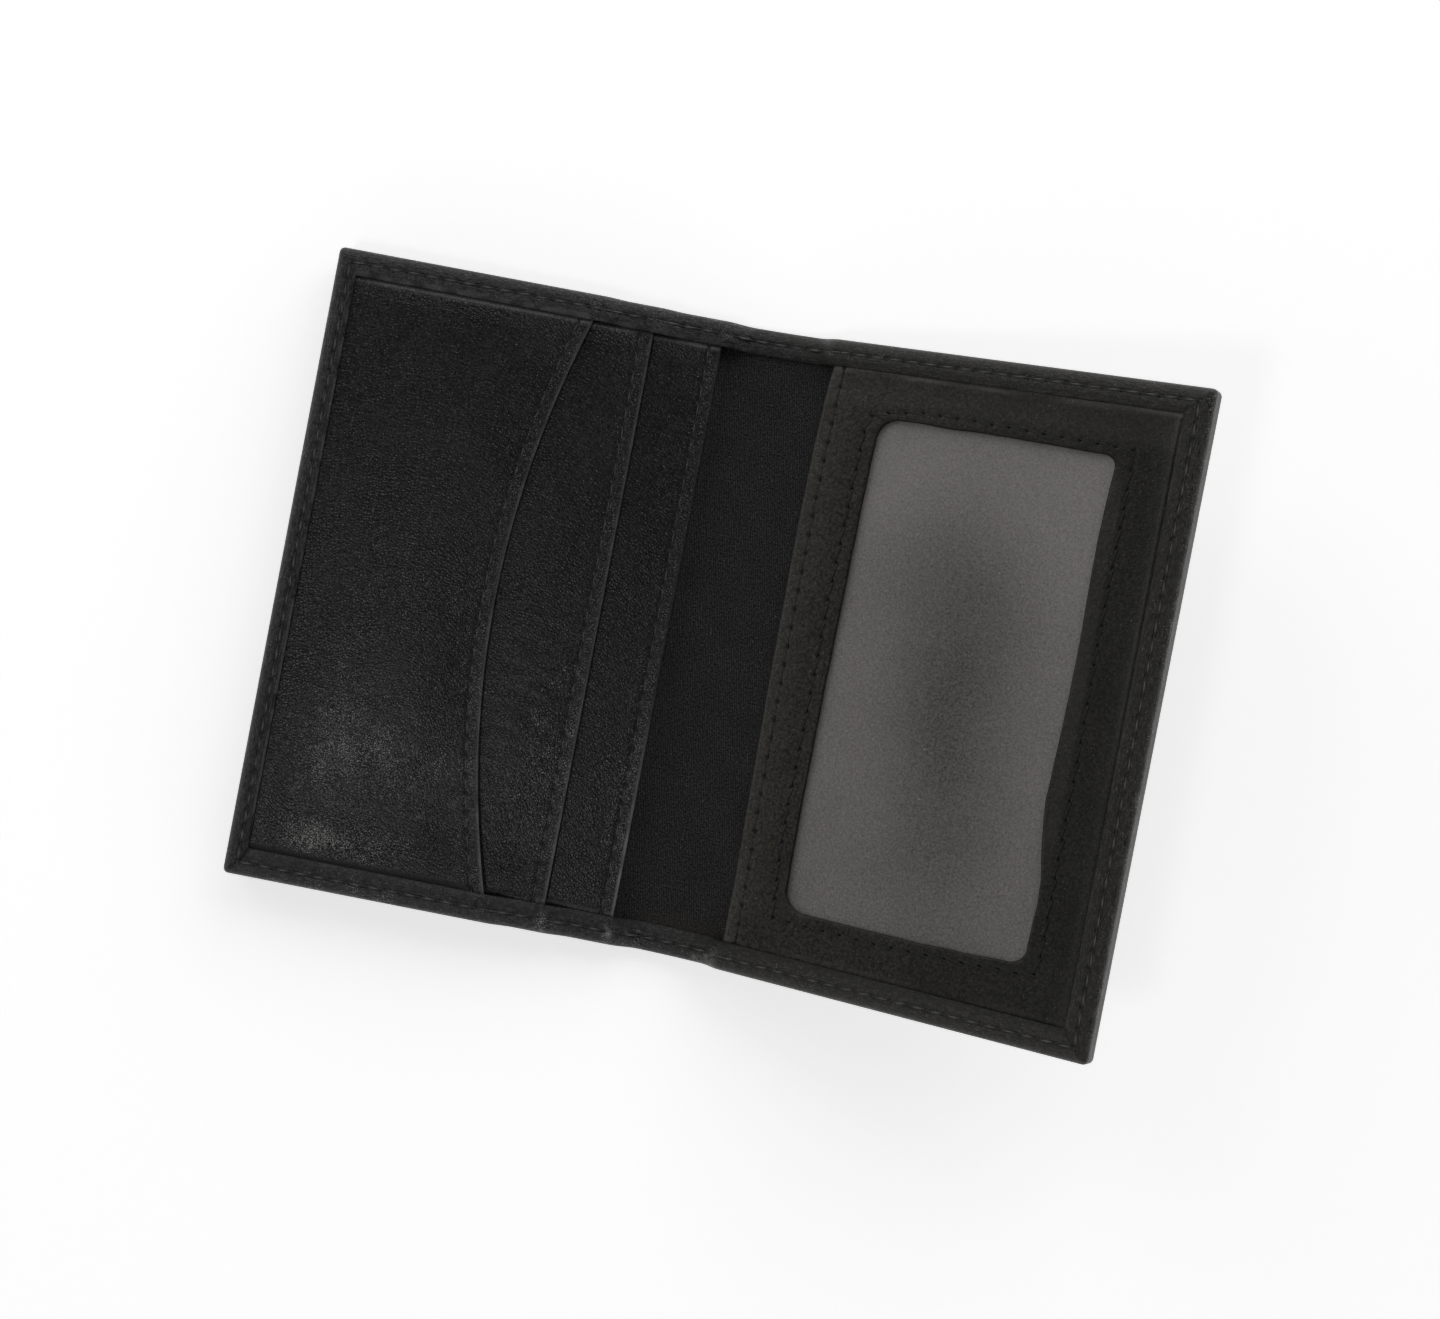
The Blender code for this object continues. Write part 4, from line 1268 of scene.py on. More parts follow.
def thin_sheet(
    name: str,
    material: Material,
    u: Array,
    y: Array,
    upper: Array,
    thickness: float,
    wear_dust_and_painted_light: Array | float = 0.0,
) -> Obj:
    """Makes a sheet of even thickness from a grid.

    Args:
        name: The piece's name.
        material: Its material.
        u: The grid's places across the holder.
        y: Its places along the spine.
        upper: Heights of the upper face.
        thickness: How thick the sheet is.
        wear_dust_and_painted_light: The mark of dust on the cloth, and of painted shade on the film.

    Returns:
        The sheet's object.
    """
    skin = Skin()
    faces = []
    for level in (upper, upper - thickness):
        points = np.stack((u, y, level), axis=-1)
        faces.append(skin.add(points, points[..., :2], 0.0, wear_dust_and_painted_light))
    for face in faces:
        skin.weave(face)
    for edge in (np.s_[0, :], np.s_[-1, :], np.s_[:, 0], np.s_[:, -1]):
        skin.weave(np.stack((faces[0][edge], faces[1][edge])), cut=True)
    return skin.piece(name, material)


@dataclass
class Lining:
    """The twill that runs from under the card pockets over the spine to under the window pocket."""

    cloth: Material
    thickness: float = 0.2
    spine_level: float = 1.25
    board_level: float = 2.0
    ramp: Pair = (8.31, 9.71)
    far_end: float = 71.35

    def level(self, u: Array) -> Array:
        """Height of the cloth's upper face."""
        (first, last), rise = self.ramp, self.board_level - self.spine_level
        return self.spine_level + rise * smooth((-u - first) / (last - first))

    def build(self) -> None:
        """Builds the four stretches of cloth and puts them in place of their CAD nodes."""
        p = FOLD.pitch
        stretches = (
            ("lining_left", Zone.LEFT, -self.far_end, -p, ("left_lining", "spine_lining_1")),
            ("lining_spine_left", Zone.SPINE_LEFT, -p, 0.0, ("spine_lining_2",)),
            ("lining_spine_right", Zone.SPINE_RIGHT, 0.0, p, ("spine_lining_3",)),
            ("lining_right", Zone.RIGHT, p, self.far_end, ("right_lining",)),
        )
        made = {}
        for name, zone, first, last, nodes in stretches:
            near = np.clip((-12.5, 12.5), first, last)
            across = np.unique(np.concatenate(([first, last], np.linspace(*near, 41))))
            u, y = np.meshgrid(across, np.linspace(-INNER_HALF, INNER_HALF, 121), indexing="ij")
            ease = smooth((INNER_HALF - 3 - abs(y)) / 6) * smooth((14 - abs(u)) / 4)
            upper = self.level(u) + ripple(u * 1.4, y * 0.5, 6, 2.2) * 0.12 * ease
            dust = 0.7 * bell(y + 47, 2.5) * bell(u - 1, 8)
            dust = dust + 0.35 * bell(u - 10, 1.2) * smooth((-y - 20) / 20)
            made[name] = thin_sheet(name, self.cloth, u, y, upper, self.thickness, dust)
            settle(made[name], zone, "twill", *nodes)


@dataclass
class Flap:
    """A leather pocket piece of the left panel, whose lip relaxes onto the layer below.

    lip gives the distance of a line at some inset from the lip from the fold line, at each y.
    Swells and wrinkles are patches where the leather stands up, and polish has patches where glints and
    sheen are painted. Beyond fall_from, in y, the leather slopes down by fall, and gap is how strong the
    painted shadow along its join with the lower hem is; it also lowers the ridge and the painted highlight
    beside that hem. gleam is how strong the painted highlight along the lip is, from the top to the middle
    and at the bottom. near has the distances from the lip of the rows of points beside it, and rim has the
    lip's rounded edge, as distances from the lip and drops below the upper face.
    """

    name: str
    node: str
    lip: Callable[[Array, float], Array]
    far_end: float
    level: float
    skived: bool
    seed: float
    seam: float = 2.0
    leather: float = 0.6
    droop: float = 0.4
    droop_run: float = 12.0
    half_width: float = 72.4
    swells: tuple[Patch, ...] = ()
    wrinkles: tuple[Patch, ...] = ()
    sheen: tuple[Patch, ...] = ()
    fall: float = 0.0
    fall_from: float = -20.0
    gap: float = 0.0
    gleam: Pair = (0.3, 0.5)
    near: tuple[float, ...] = (
        0.4, 0.55, 0.75, 1.0, 1.25, 1.5, 1.68, 1.84, 2.0, 2.16, 2.32, 2.5, 2.75, 3.1, 3.6, 4.2, 5.0, 6.0,
    )
    rim: tuple[Pair, ...] = ((0.16, 0.07), (0.03, 0.2), (0.0, 0.34), (0.04, 0.48), (0.18, 0.58))

    def rows(self) -> Array:
        """Places along the spine, ten for each stitch and closer together at the hems.

        Returns:
            The places, from the bottom to the top.
        """
        low, high = LIP_ENDS
        run = np.linspace(low, high, LIP_STITCHES * FINE + 1)
        tail, head = np.linspace(-INNER_HALF, low, 11)[:-1], np.linspace(high, INNER_HALF, 11)[1:]
        return np.concatenate((tail, run, head))

    def build(self, hide: Material) -> Obj:
        """Builds the piece: upper face, rounded lip and lower face in one closed skin.

        Args:
            hide: The leather's material.

        Returns:
            The piece.
        """
        y = self.rows()[:, None]
        lip = self.lip(y, 0.0)
        lean = (self.lip(y, self.seam) - lip) / self.seam
        near = np.array(self.near) * lean
        start = lip + near[:, -1:]
        s = np.concatenate((lip + near, start + (self.far_end - start) * np.linspace(0, 1, 32)[1:]), axis=1)
        away = s - lip
        rim_s, rim_n = np.array(self.rim).T
        face = self.height(away, s, y)
        thin = np.where(s > self.far_end - 4, 0.25, self.leather) if self.skived else self.leather
        along = along_lip(y)
        inside = smooth((along + 0.5) / 0.3) * smooth((LIP_STITCHES + 0.5 - along) / 0.3)
        across = away - self.seam * lean
        hole = punch(along, across, wide=0.24) * inside
        upper = face - 0.34 * hole - 0.08 * bell(across, 0.42) * inside
        edge_s = lip + rim_s
        u = -(FOLD.line + round_edge(s, edge_s, s))
        n = round_edge(upper, face[:, :1] - rim_n, face - thin)
        crevice, sheen, gleam, edge = self.marks(away, s, y, hole)
        marks = [
            round_edge(mark, rim_mark + 0 * edge_s, 0 * mark)
            for mark, rim_mark in ((crevice, 0.0), (sheen, 0.3), (gleam, edge))
        ]
        skin = Skin()
        points = np.stack((u, y + 0 * u, n), axis=-1)
        numbers = skin.add(points, points[..., [1, 0]], *marks)
        skin.weave(numbers)
        skin.weave(np.stack((numbers[:, -1], numbers[:, 0]), axis=1))
        for row in (0, -1):
            skin.caps.append(numbers[row].tolist())
        return skin.piece(self.name, hide)

    def marks(self, away: Array, s: Array, y: Array, hole: Array) -> tuple[Array, Array, Array, Array]:
        """The marks of the upper face.

        Args:
            away: Distance from the lip.
            s: Distance from the fold line.
            y: Place along the spine.
            hole: The stitch holes.

        Returns:
            The crevice mark with painted shade, the rub mark with painted glints and sheen, the gleam mark
            with painted highlights, and how strong the painted highlight on the lip's rim is.
        """
        # Painted shade in the stitch holes and where the end hems lie on the leather, and a painted shadow
        # along the join with the lower hem.
        gap = self.gap * bell(y - OPENING.low - 0.25, 0.5) * smooth(away / 6)
        crevice = np.clip(hole * 1.8 + 0.3 * OPENING.covered(y) + gap, 0, 1)
        # Painted glints near the lip and a few all over, and painted sheen in the patches.
        sheen = 0.3 * bell(away, 4) + 0.1
        for at_u, at_y, wide, tall, amount in self.sheen:
            sheen = sheen + amount * bell(FOLD.line + s + at_u, wide) * bell(y - at_y, tall)
        sheen = sheen * (0.95 + 0.5 * ripple(s, y, 3, self.seed + 2))
        # Painted highlight along the lip, stronger towards the bottom, and on the ridge beside each hem.
        first, last = self.gleam
        edge = first + (last - first) * smooth((-5 - y) / 36)
        edge = edge * (0.8 + 0.5 * ripple(y, 0 * y, 3, self.seed + 5))
        beside = OPENING.beside(y, 0.5, 0.25, 0.4 * (1 - self.gap))
        beside = beside * smooth(0.65 + 1.3 * ripple(s, y, 6, self.seed + 7))
        return crevice, sheen, bell(away - 0.4, 0.1) * edge * 0.5 + 0.45 * beside, edge

    def height(self, away: Array, s: Array, y: Array) -> Array:
        """Height of the upper face: lip relaxed, panel gently swollen, ridge beside each hem.

        Args:
            away: Distance from the lip.
            s: Distance from the fold line.
            y: Place along the spine.

        Returns:
            The height.
        """
        ends = OPENING.free(y)
        level = self.level - self.droop * ends * (1 - smooth(away / self.droop_run))
        u = -(FOLD.line + s)
        inner = ends * smooth(away / 6) * smooth((self.half_width - 3.6 + u) / 6)
        for at_u, at_y, wide, tall, rise in self.swells:
            level = level + inner * rise * bell(u - at_u, wide) * bell(y - at_y, tall)
        waves = ripple(u * 0.45 + y * 0.15, y, 1.9, self.seed + 8)
        for at_u, at_y, wide, tall, depth in self.wrinkles:
            level = level + inner * depth * waves * bell(u - at_u, wide) * bell(y - at_y, tall)
        level = level + inner * 0.1 * ripple(u, y, 17, self.seed) + 0.02 * ripple(u, y, 2.2, self.seed + 4)
        level = level - self.fall * inner * np.logaddexp(0.0, (self.fall_from - y) / 2.5) * 2.5
        shoulder = smooth((y - OPENING.high + 3.5) / 3.5) * smooth((self.half_width + u) / 6)
        level = level + 0.22 * shoulder * smooth(away / 1.5)
        return level + 0.15 * OPENING.beside(y, 0.35, 0.35, 1 - self.gap) + 0.05 * bell(away - 0.45, 0.35)

    def holes(self) -> Seam:
        """The lip seam.

        Returns:
            The seam.
        """
        y = np.linspace(*LIP_ENDS, LIP_STITCHES + 1)
        s = self.lip(y, self.seam)
        level = self.height(s - self.lip(y, 0.0), s, y) - 0.14
        return Seam(np.column_stack((-(FOLD.line + s), y, level)), thread=0.22)


@dataclass
class CardPockets:
    """The three card pockets of the left panel."""

    hide: Material
    cloth: Material
    rear_lip: float = 2.598
    middle_lip: float = 13.698
    front_lip: float = 30.548
    front_radius: float = 155.7
    underlap: float = 6.0
    flaps: list[Flap] = field(default_factory=list)

    @staticmethod
    def straight(place: float) -> Callable[[Array, float], Array]:
        """A straight lip: the line at an inset from it."""
        return lambda y, inset: place + inset + 0 * y

    def curved(self, y: Array, inset: float) -> Array:
        """The front lip, an arc whose middle is cut deepest, or the line at an inset from it."""
        return self.front_lip - self.front_radius + np.sqrt((self.front_radius + inset) ** 2 - y**2)

    def build(self) -> None:
        """Builds the pockets and puts them in place of their CAD nodes."""
        rear = Flap(
            "rear_pocket_leather",
            "rear_pocket_strip",
            self.straight(self.rear_lip),
            far_end=self.middle_lip + self.underlap,
            level=3.45,
            skived=True,
            seed=3.1,
            wrinkles=((-14, -34, 5, 10, 0.07),),
            sheen=((-14, -28, 6, 16, 0.3),),
            gleam=(0.1, 1.0),
        )
        middle = Flap(
            "middle_pocket_leather",
            "middle_pocket_strip",
            self.straight(self.middle_lip),
            far_end=self.front_lip + self.underlap,
            level=4.9,
            skived=True,
            seed=5.7,
            swells=((-27, -20, 6, 14, 0.25),),
            wrinkles=((-27, -16, 8, 15, 0.17),),
            sheen=((-26.5, -22, 6.5, 19, 0.4),),
            fall=0.02,
        )
        front = Flap(
            "front_pocket_leather",
            "front_pocket",
            self.curved,
            far_end=POCKET_END,
            level=6.35,
            skived=False,
            seed=9.4,
            swells=((-52, -14, 13, 14, 0.4), (-50, 24, 16, 18, 0.2)),
            wrinkles=((-42, -33, 8, 9, 0.07), (-60, -22, 9, 14, 0.05)),
            # Painted sheen at the lower left of the front pocket.
            sheen=(
                (-59, -26.5, 4.5, 12.5, 0.46),
                (-55.5, -43, 13, 4.2, 0.74),
                (-49.5, -28.5, 7, 5.5, 0.4),
                (-42, -29.5, 1.4, 4, 0.3),
                (-52, -16, 18, 25, 0.29),
            ),
            fall=0.022,
            gap=0.9,
        )
        self.flaps = [rear, middle, front]
        for flap in self.flaps:
            settle(flap.build(self.hide), "left_panel", "pocket_leather", flap.node)
        self.lay_tongue("rear_pocket_tongue")
        self.lay_tongue("middle_pocket_tongue")

    def lay_tongue(self, node: str) -> None:
        """The cloth tongue that a pocket strip is sewn to, hidden under the next pocket.

        Args:
            node: The CAD node that it takes the place of.
        """
        low, high = (np.array(corner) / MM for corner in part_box(node))
        across, along = np.linspace(low[0], high[0], 13) - FOLD.origin_x, np.linspace(low[1], high[1], 41)
        u, y = np.meshgrid(across, along, indexing="ij")
        piece = thin_sheet(node + "_cloth", self.cloth, u, y, 0 * u + high[2], high[2] - low[2])
        settle(piece, "left_panel", "twill", node)


@dataclass
class WindowPocket:
    """The window pocket of the right panel: a leather frame with a hand-cut window over a film.

    window has its edge on the left, right, bottom and top, and seam_insets how far the seam lies
    outside each. The radii go from the top right corner anticlockwise. cut and sewn say how far the
    window's edge and its seam wander outwards at places along each side, and insets has the
    distances from the window of the rings of points round it. rim and lip_rim are the rounded edges
    of window and lip, as distances from the edge and drops below the upper face.
    """

    hide: Material
    film: Material
    lip: float = 3.995
    level: float = 3.2
    leather: float = 0.6
    droop: float = 0.5
    hem_side: float = 68.0
    window: tuple[float, float, float, float] = (20.05, 59.5, -38.7, 39.1)
    corner_radii: tuple[float, float, float, float] = (2.0, 3.5, 3.5, 2.5)
    seam: float = 2.1
    seam_insets: tuple[float, float, float, float] = (1.8, 2.1, 1.35, 1.26)
    seam_radii: tuple[float, float, float, float] = (0.6, 2.6, 0.6, 1.6)
    offset_end: float = 3.0
    insets: tuple[float, ...] = (0.2, 0.35, 0.6, 0.95, 1.3, 1.6, 1.78, 1.94, 2.1, 2.26, 2.42, 2.65, 3.0)
    cut: dict[str, tuple[Pair, ...]] = field(
        default_factory=lambda: {
            "left": (
                (-38, 0.6), (-30, 0.79), (-22, 0.88), (-6, 0.82),
                (10, 0.64), (26, 0.47), (35, 0.23), (39, 0.15),
            ),
            "right": (
                (-38, 0.2), (-33.6, 0.28), (-29.6, 0.5), (-25.7, 0.32), (-21.7, -0.42),
                (-17.8, -0.96), (-13.8, -1.31), (-6, -1.07), (2, -0.87), (10, -0.75),
                (18, -1.0), (26, -1.02), (34, -0.79), (39, -0.5),
            ),
            "top": ((20, 0.5), (23, 0.53), (30, 0.4), (38, 0.4), (47, 0.2), (55, 0.0)),
            "bottom": ((23, 0.53), (35, 0.58), (43, 0.53), (51, 0.34), (57, 0.0)),
        }
    )
    sewn: dict[str, tuple[Pair, ...]] = field(
        default_factory=lambda: {
            "left": (
                (-38, 0.35), (-30, 1.0), (-22, 1.15), (-6, 0.97),
                (10, 1.05), (18, 0.88), (31, 0.58), (38, 0.47),
            ),
            "right": ((-35, 0.5), (-20, 0.35), (-6, 0.3), (10, 0.0), (39, -0.05)),
            "top": (
                (21.7, 0.13), (27, 0.8), (35, 0.8), (38.5, 0.55),
                (43, 0.53), (47, 0.32), (55, 0.13), (60, 0.0),
            ),
            "bottom": ((18, 0.8), (23, 0.93), (35, 0.98), (43, 0.71), (51, 0.53), (56, 0.08)),
        }
    )
    rim: tuple[Pair, ...] = ((0.06, 0.22), (0.0, 0.36), (0.05, 0.5))
    lip_rim: tuple[Pair, ...] = ((0.16, 0.06), (0.03, 0.18), (0.0, 0.3), (0.03, 0.42), (0.16, 0.54))
    lip_seam: float = 1.5
    long_stitches: int = 27
    short_stitches: int = 15
    film_level: float = 2.35
    film_thickness: float = 0.25
    film_margin: float = 6.0

    def outline(self, inset: float) -> Array:
        """The window's uneven outline, cut at inset 0 and sewn where the seam is."""
        line, share = self.ring(inset), smooth(inset / 1.8)
        return line + self.wander(line, self.cut) * (1 - share) + self.wander(line, self.sewn) * share

    def ring(self, inset: float) -> Array:
        """The window's even outline moved out by an inset, from the top right corner anticlockwise.

        Args:
            inset: Distance outside the window's edge.

        Returns:
            Points (u, y), one for each station round the window.
        """
        low_u, high_u, low_y, high_y = self.window
        end = self.offset_end
        marks = (0.0, 1.6, 2.42, end)
        corners = zip(self.corner_radii, self.seam_radii)
        radii = [np.interp(inset, marks, (cut, sewn, sewn, 0.0)) for cut, sewn in corners]
        left, right, bottom, top = (
            np.interp(inset, (0.0, self.seam, end), (0.0, at, end)) for at in self.seam_insets
        )
        ends = ((high_u + right, high_y + top), (low_u - left, high_y + top))
        ends += ((low_u - left, low_y - bottom), (high_u + right, low_y - bottom))
        sides = np.array(((1, 1), (-1, 1), (-1, -1), (1, -1)))
        centres = [np.array(end) - radius * side for end, radius, side in zip(ends, radii, sides)]
        points = []
        for k in range(4):
            normal = (k + 1) * math.pi / 2
            bends = ((k, normal - math.pi / 4), ((k + 1) % 4, normal))
            arcs = []
            for corner, first in bends:
                turn = np.linspace(first, first + math.pi / 4, 9)
                arcs.append(centres[corner] + radii[corner] * np.column_stack((np.cos(turn), np.sin(turn))))
            path = np.concatenate(arcs)
            steps = np.concatenate(([0.0], np.cumsum(np.linalg.norm(np.diff(path, axis=0), axis=1))))
            count = FINE * (self.long_stitches if k % 2 else self.short_stitches)
            places = np.arange(count) / count * steps[-1]
            points.append(np.column_stack([np.interp(places, steps, path[:, axis]) for axis in (0, 1)]))
        return np.concatenate(points)

    def wander(self, line: Array, sides: dict[str, tuple[Pair, ...]]) -> Array:
        """How a hand-made outline wanders off the straight.

        Args:
            line: Points (u, y) of the even outline.
            sides: For each side, pairs of a place along it and the drift outwards there.

        Returns:
            The drift (u, y) of each point.
        """
        u, y = line.T
        low_u, high_u, low_y, high_y = self.window
        places = {"left": y, "right": y, "top": u, "bottom": u}
        out = {side: np.interp(places[side], *np.array(pairs).T) for side, pairs in sides.items()}
        across, along = (u - low_u) / (high_u - low_u), (y - low_y) / (high_y - low_y)
        drift_u = out["right"] * across - out["left"] * (1 - across) + 0.08 * ripple(u, y, 4, 6.2)
        drift_y = out["top"] * along - out["bottom"] * (1 - along) + 0.1 * ripple(u, y, 5, 1.2)
        return np.stack((drift_u, drift_y), axis=-1)

    def bow(self, u: Array, y: Array) -> Array:
        """How far use has drawn the lip, and less the seam beside it, towards the spine.

        Args:
            u: Place across the holder.
            y: Place along the spine.

        Returns:
            The distance.
        """
        away = u - FOLD.line - self.lip
        start = np.maximum(OPENING.high - y, 0)
        fading = np.maximum(24 - y, 0) / 70
        lip = 0.44 + 1.4 * (1 - np.exp(-start / 7)) - 1.14 * fading**1.6
        seam = np.maximum(1.02 * (1 - np.exp(-start / 9)) - 1.02 * fading**2.4, 0)
        drawn = lip + (seam - lip) * np.clip(away / self.lip_seam, 0, 1)
        return drawn * (1 - smooth((away - self.lip_seam) / 6))

    def frame_points(self) -> tuple[Array, Array]:
        """Rings from the window's edge out to the frame's edge.

        Returns:
            The points (u, y) by station and ring, and the distance of each ring from the window.
        """
        rings = [self.outline(inset) for inset in self.insets]
        last = rings[-1]
        low_u, high_u, low_y, high_y = self.window
        grow = self.offset_end
        centre = np.array(((low_u + high_u) / 2, (low_y + high_y) / 2))
        half = np.array(((high_u - low_u) / 2 + grow, (high_y - low_y) / 2 + grow))
        part = (self.ring(grow) - centre) / half
        edge_low = np.array((FOLD.line + self.lip + 0.4, -INNER_HALF))
        edge_high = np.array((FOLD.line + POCKET_END, INNER_HALF))
        target = (edge_low + edge_high) / 2 + part * (edge_high - edge_low) / 2
        shares = np.concatenate((np.linspace(0, 0.55, 9)[1:], np.linspace(0.55, 1.0, 25)[1:]))
        rings += [last + (target - last) * share for share in shares]
        return np.stack(rings, axis=1), np.concatenate((self.insets, grow + shares * 10))

    def height(self, u: Array, y: Array) -> Array:
        """Height of the frame's upper face.

        Args:
            u: Place across the holder.
            y: Place along the spine.

        Returns:
            The height.
        """
        away = u - FOLD.line - self.lip
        to_hem = self.hem_side - u
        ends = OPENING.free(y)
        level = self.level - self.droop * ends * (1 - smooth(away / 4.5))
        level = level + 0.07 * ripple(u, y, 13, 7.7) * ends + 0.02 * ripple(u, y, 2.2, 3.3)
        shoulder = np.maximum(smooth((y - OPENING.high + 3.5) / 3.5), smooth((3.5 - to_hem) / 3.5))
        level = level + 0.25 * shoulder * smooth(away / 1.5)
        return level + 0.15 * np.maximum(OPENING.beside(y, 0.35, 0.35), bell(to_hem - 0.35, 0.35))

    def marks(self, u: Array, y: Array, away: Array, hole: Array) -> tuple[Array, Array, Array]:
        """The marks of the upper face.

        Args:
            u: Place across the holder.
            y: Place along the spine.
            away: Distance from the window.
            hole: The stitch holes of both seams.

        Returns:
            The crevice mark with painted shade, the rub mark with lost pigment and painted glints, and the
            gleam mark with painted highlights.
        """
        lip, to_hem = FOLD.line + self.lip, self.hem_side - u
        # Painted shade in the stitch holes and where the hems lie on the frame, and a painted shadow along
        # the window's top edge.
        covered = np.maximum(OPENING.covered(y), 0.3 * smooth((0.2 - to_hem) / 0.3))
        crevice = np.clip(hole * 1.8 + 0.4 * covered, 0, 1)
        crevice = np.maximum(crevice, 0.8 * bell(away - 0.2, 0.15) * smooth((y - 36) / 3))
        # Pale flecks along the lip and a few all over: lost pigment and painted glints.
        wear_dust_and_painted_light = 0.25 * bell(u - lip - 0.5, 0.5) + 0.1 + 0.2 * ripple(u, y, 5, 2.4)
        # Painted highlights: the ridge beside the hems, the band along the lip, the top of the frame and
        # the strip beside the window's right edge.
        beside = OPENING.beside(y, 0.5, 0.25, 0.3) + 0.1 * bell(to_hem - 0.5, 0.25)
        gleam = 0.35 * np.clip(beside, 0, 1) * smooth(0.5 + 1.2 * ripple(u, y, 9, 8.8))
        gleam = gleam + 0.055 * smooth((self.lip_seam + 0.1 - u + lip) / 0.4)
        gleam = gleam + 0.05 * smooth((y - 39.5) / 3)
        strip = smooth(u - 58.5) * smooth((61.3 - u) / 0.6) * smooth((y + 26) / 8) * smooth((38 - y) / 5)
        return crevice, wear_dust_and_painted_light, gleam + 0.05 * strip

    def build(self) -> None:
        """Builds the frame and the film, and puts them in place of their CAD nodes."""
        points, away = self.frame_points()
        u, y = points[..., 0], points[..., 1]
        face = self.height(u, y)
        stations = np.arange(len(points))[:, None] / FINE
        along, from_seam = along_lip(y), u - FOLD.line - self.lip - self.lip_seam
        inside = (along > -0.3) & (along < LIP_STITCHES + 0.3)
        hole = np.maximum(punch(stations, away - self.seam), punch(along, from_seam, 0.26, 0.26) * inside)
        groove = np.maximum(bell(away - self.seam, 0.4), bell(from_seam, 0.42) * inside)
        upper = face - 0.3 * hole - 0.04 * groove - 0.07 * bell(away - 0.2, 0.2)
        rim = np.array(self.rim)
        inner = self.outline(0.0)
        low_u, high_u, low_y, high_y = self.window
        inward = np.array(((low_u + high_u) / 2, (low_y + high_y) / 2)) - inner
        inward = inward / np.linalg.norm(inward, axis=1, keepdims=True)
        edge = np.stack([inner - inward * distance for distance in rim[:, 0]], axis=1)
        edge_n = self.height(edge[..., 0], edge[..., 1]) - rim[:, 1]
        chain = round_edge(points, edge, points)
        chain[..., 0] -= self.bow(chain[..., 0], chain[..., 1])
        n = round_edge(upper, edge_n, face - self.leather)
        # The window's cut rim gets painted shade and a few pale flecks.
        marks = [
            round_edge(mark, rim_mark + 0 * edge_n, 0 * mark)
            for mark, rim_mark in zip(self.marks(u, y, away, hole), (0.85, 0.2, 0.0))
        ]
        skin = Skin()
        numbers = skin.add(np.concatenate((chain, n[..., None]), axis=-1), chain[..., [1, 0]], *marks)
        lip = self.rounded(points[:, -1])
        # The frame's rounded outer rim gets pale flecks and a faint painted highlight.
        lip_numbers = skin.add(lip, lip[..., [1, 0]], 0.0, 0.3, 0.12)
        closed, closed_lip = (np.concatenate((grid, grid[:1]), axis=0) for grid in (numbers, lip_numbers))
        skin.weave(closed)
        skin.weave(np.concatenate((closed[:, :1], closed_lip, closed[:, -1:]), axis=1))
        piece = skin.piece("window_frame_leather", self.hide)
        settle(piece, "right_panel", "pocket_leather", "id_pocket_frame")
        self.build_film()

    def rounded(self, outer: Array) -> Array:
        """The frame's outer rim, which is rounded at the lip and upright elsewhere.

        Args:
            outer: The outermost ring of the face, (u, y).

        Returns:
            The rim's points (u, y, n) by station, from the upper face down.
        """
        rounding = []
        for distance, drop in self.lip_rim:
            u, y = outer.T
            u = u - np.where(u < FOLD.line + self.lip + 0.5, 0.4 - distance, 0.0)
            rounding.append(np.column_stack((u - self.bow(u, y), y, self.height(u, y) - drop)))
        return np.stack(rounding, axis=1)

    def build_film(self) -> None:
        """The film: a thin sheet that bows a little in the window, with painted shade in a diagonal band
        through its middle.
        """
        low_u, high_u, low_y, high_y = self.window
        m = self.film_margin
        across, along = np.linspace(low_u - m, high_u + m, 61), np.linspace(low_y - m, high_y + m, 101)
        u, y = np.meshgrid(across, along, indexing="ij")
        inner = smooth((u - low_u) / 8) * smooth((high_u - u) / 8)
        inner = inner * smooth((y - low_y) / 10) * smooth((high_y - y) / 10)
        band = u - 40 + 0.12 * y
        bow = 0.22 * bell(band, 9) - 0.12 + 0.1 * ripple(u, y, 16, 4.4)
        # Painted shade on the film: a darker diagonal band through the middle, lighter towards the top and
        # darker towards the bottom.
        clear = 0.2 + 0.8 * bell(band, 11) * bell(y - 2, 34)
        clear = clear - 0.4 * smooth((y - 12) / 22) + 0.2 * smooth((-y - 8) / 22)
        level = self.film_level + bow * inner
        piece = thin_sheet("window_film_sheet", self.film, u, y, level, self.film_thickness, clear)
        settle(piece, "right_panel", "window_film", "id_window_film")

    def lip_holes(self) -> Seam:
        """The seam along the pocket's lip.

        Returns:
            The seam.
        """
        y = np.linspace(*LIP_ENDS, LIP_STITCHES + 1)
        u = FOLD.line + self.lip + self.lip_seam + 0 * y
        return Seam(np.column_stack((u - self.bow(u, y), y, self.height(u, y) - 0.1)), thread=0.2)

    def window_holes(self) -> Seam:
        """The seam round the window, whose stitches lean a little.

        Returns:
            The seam.
        """
        line = self.outline(self.seam)[::FINE]
        level = self.height(line[:, 0], line[:, 1]) - 0.04
        return Seam(np.column_stack((line, level)), closed=True, thread=0.24, slant=0.3)


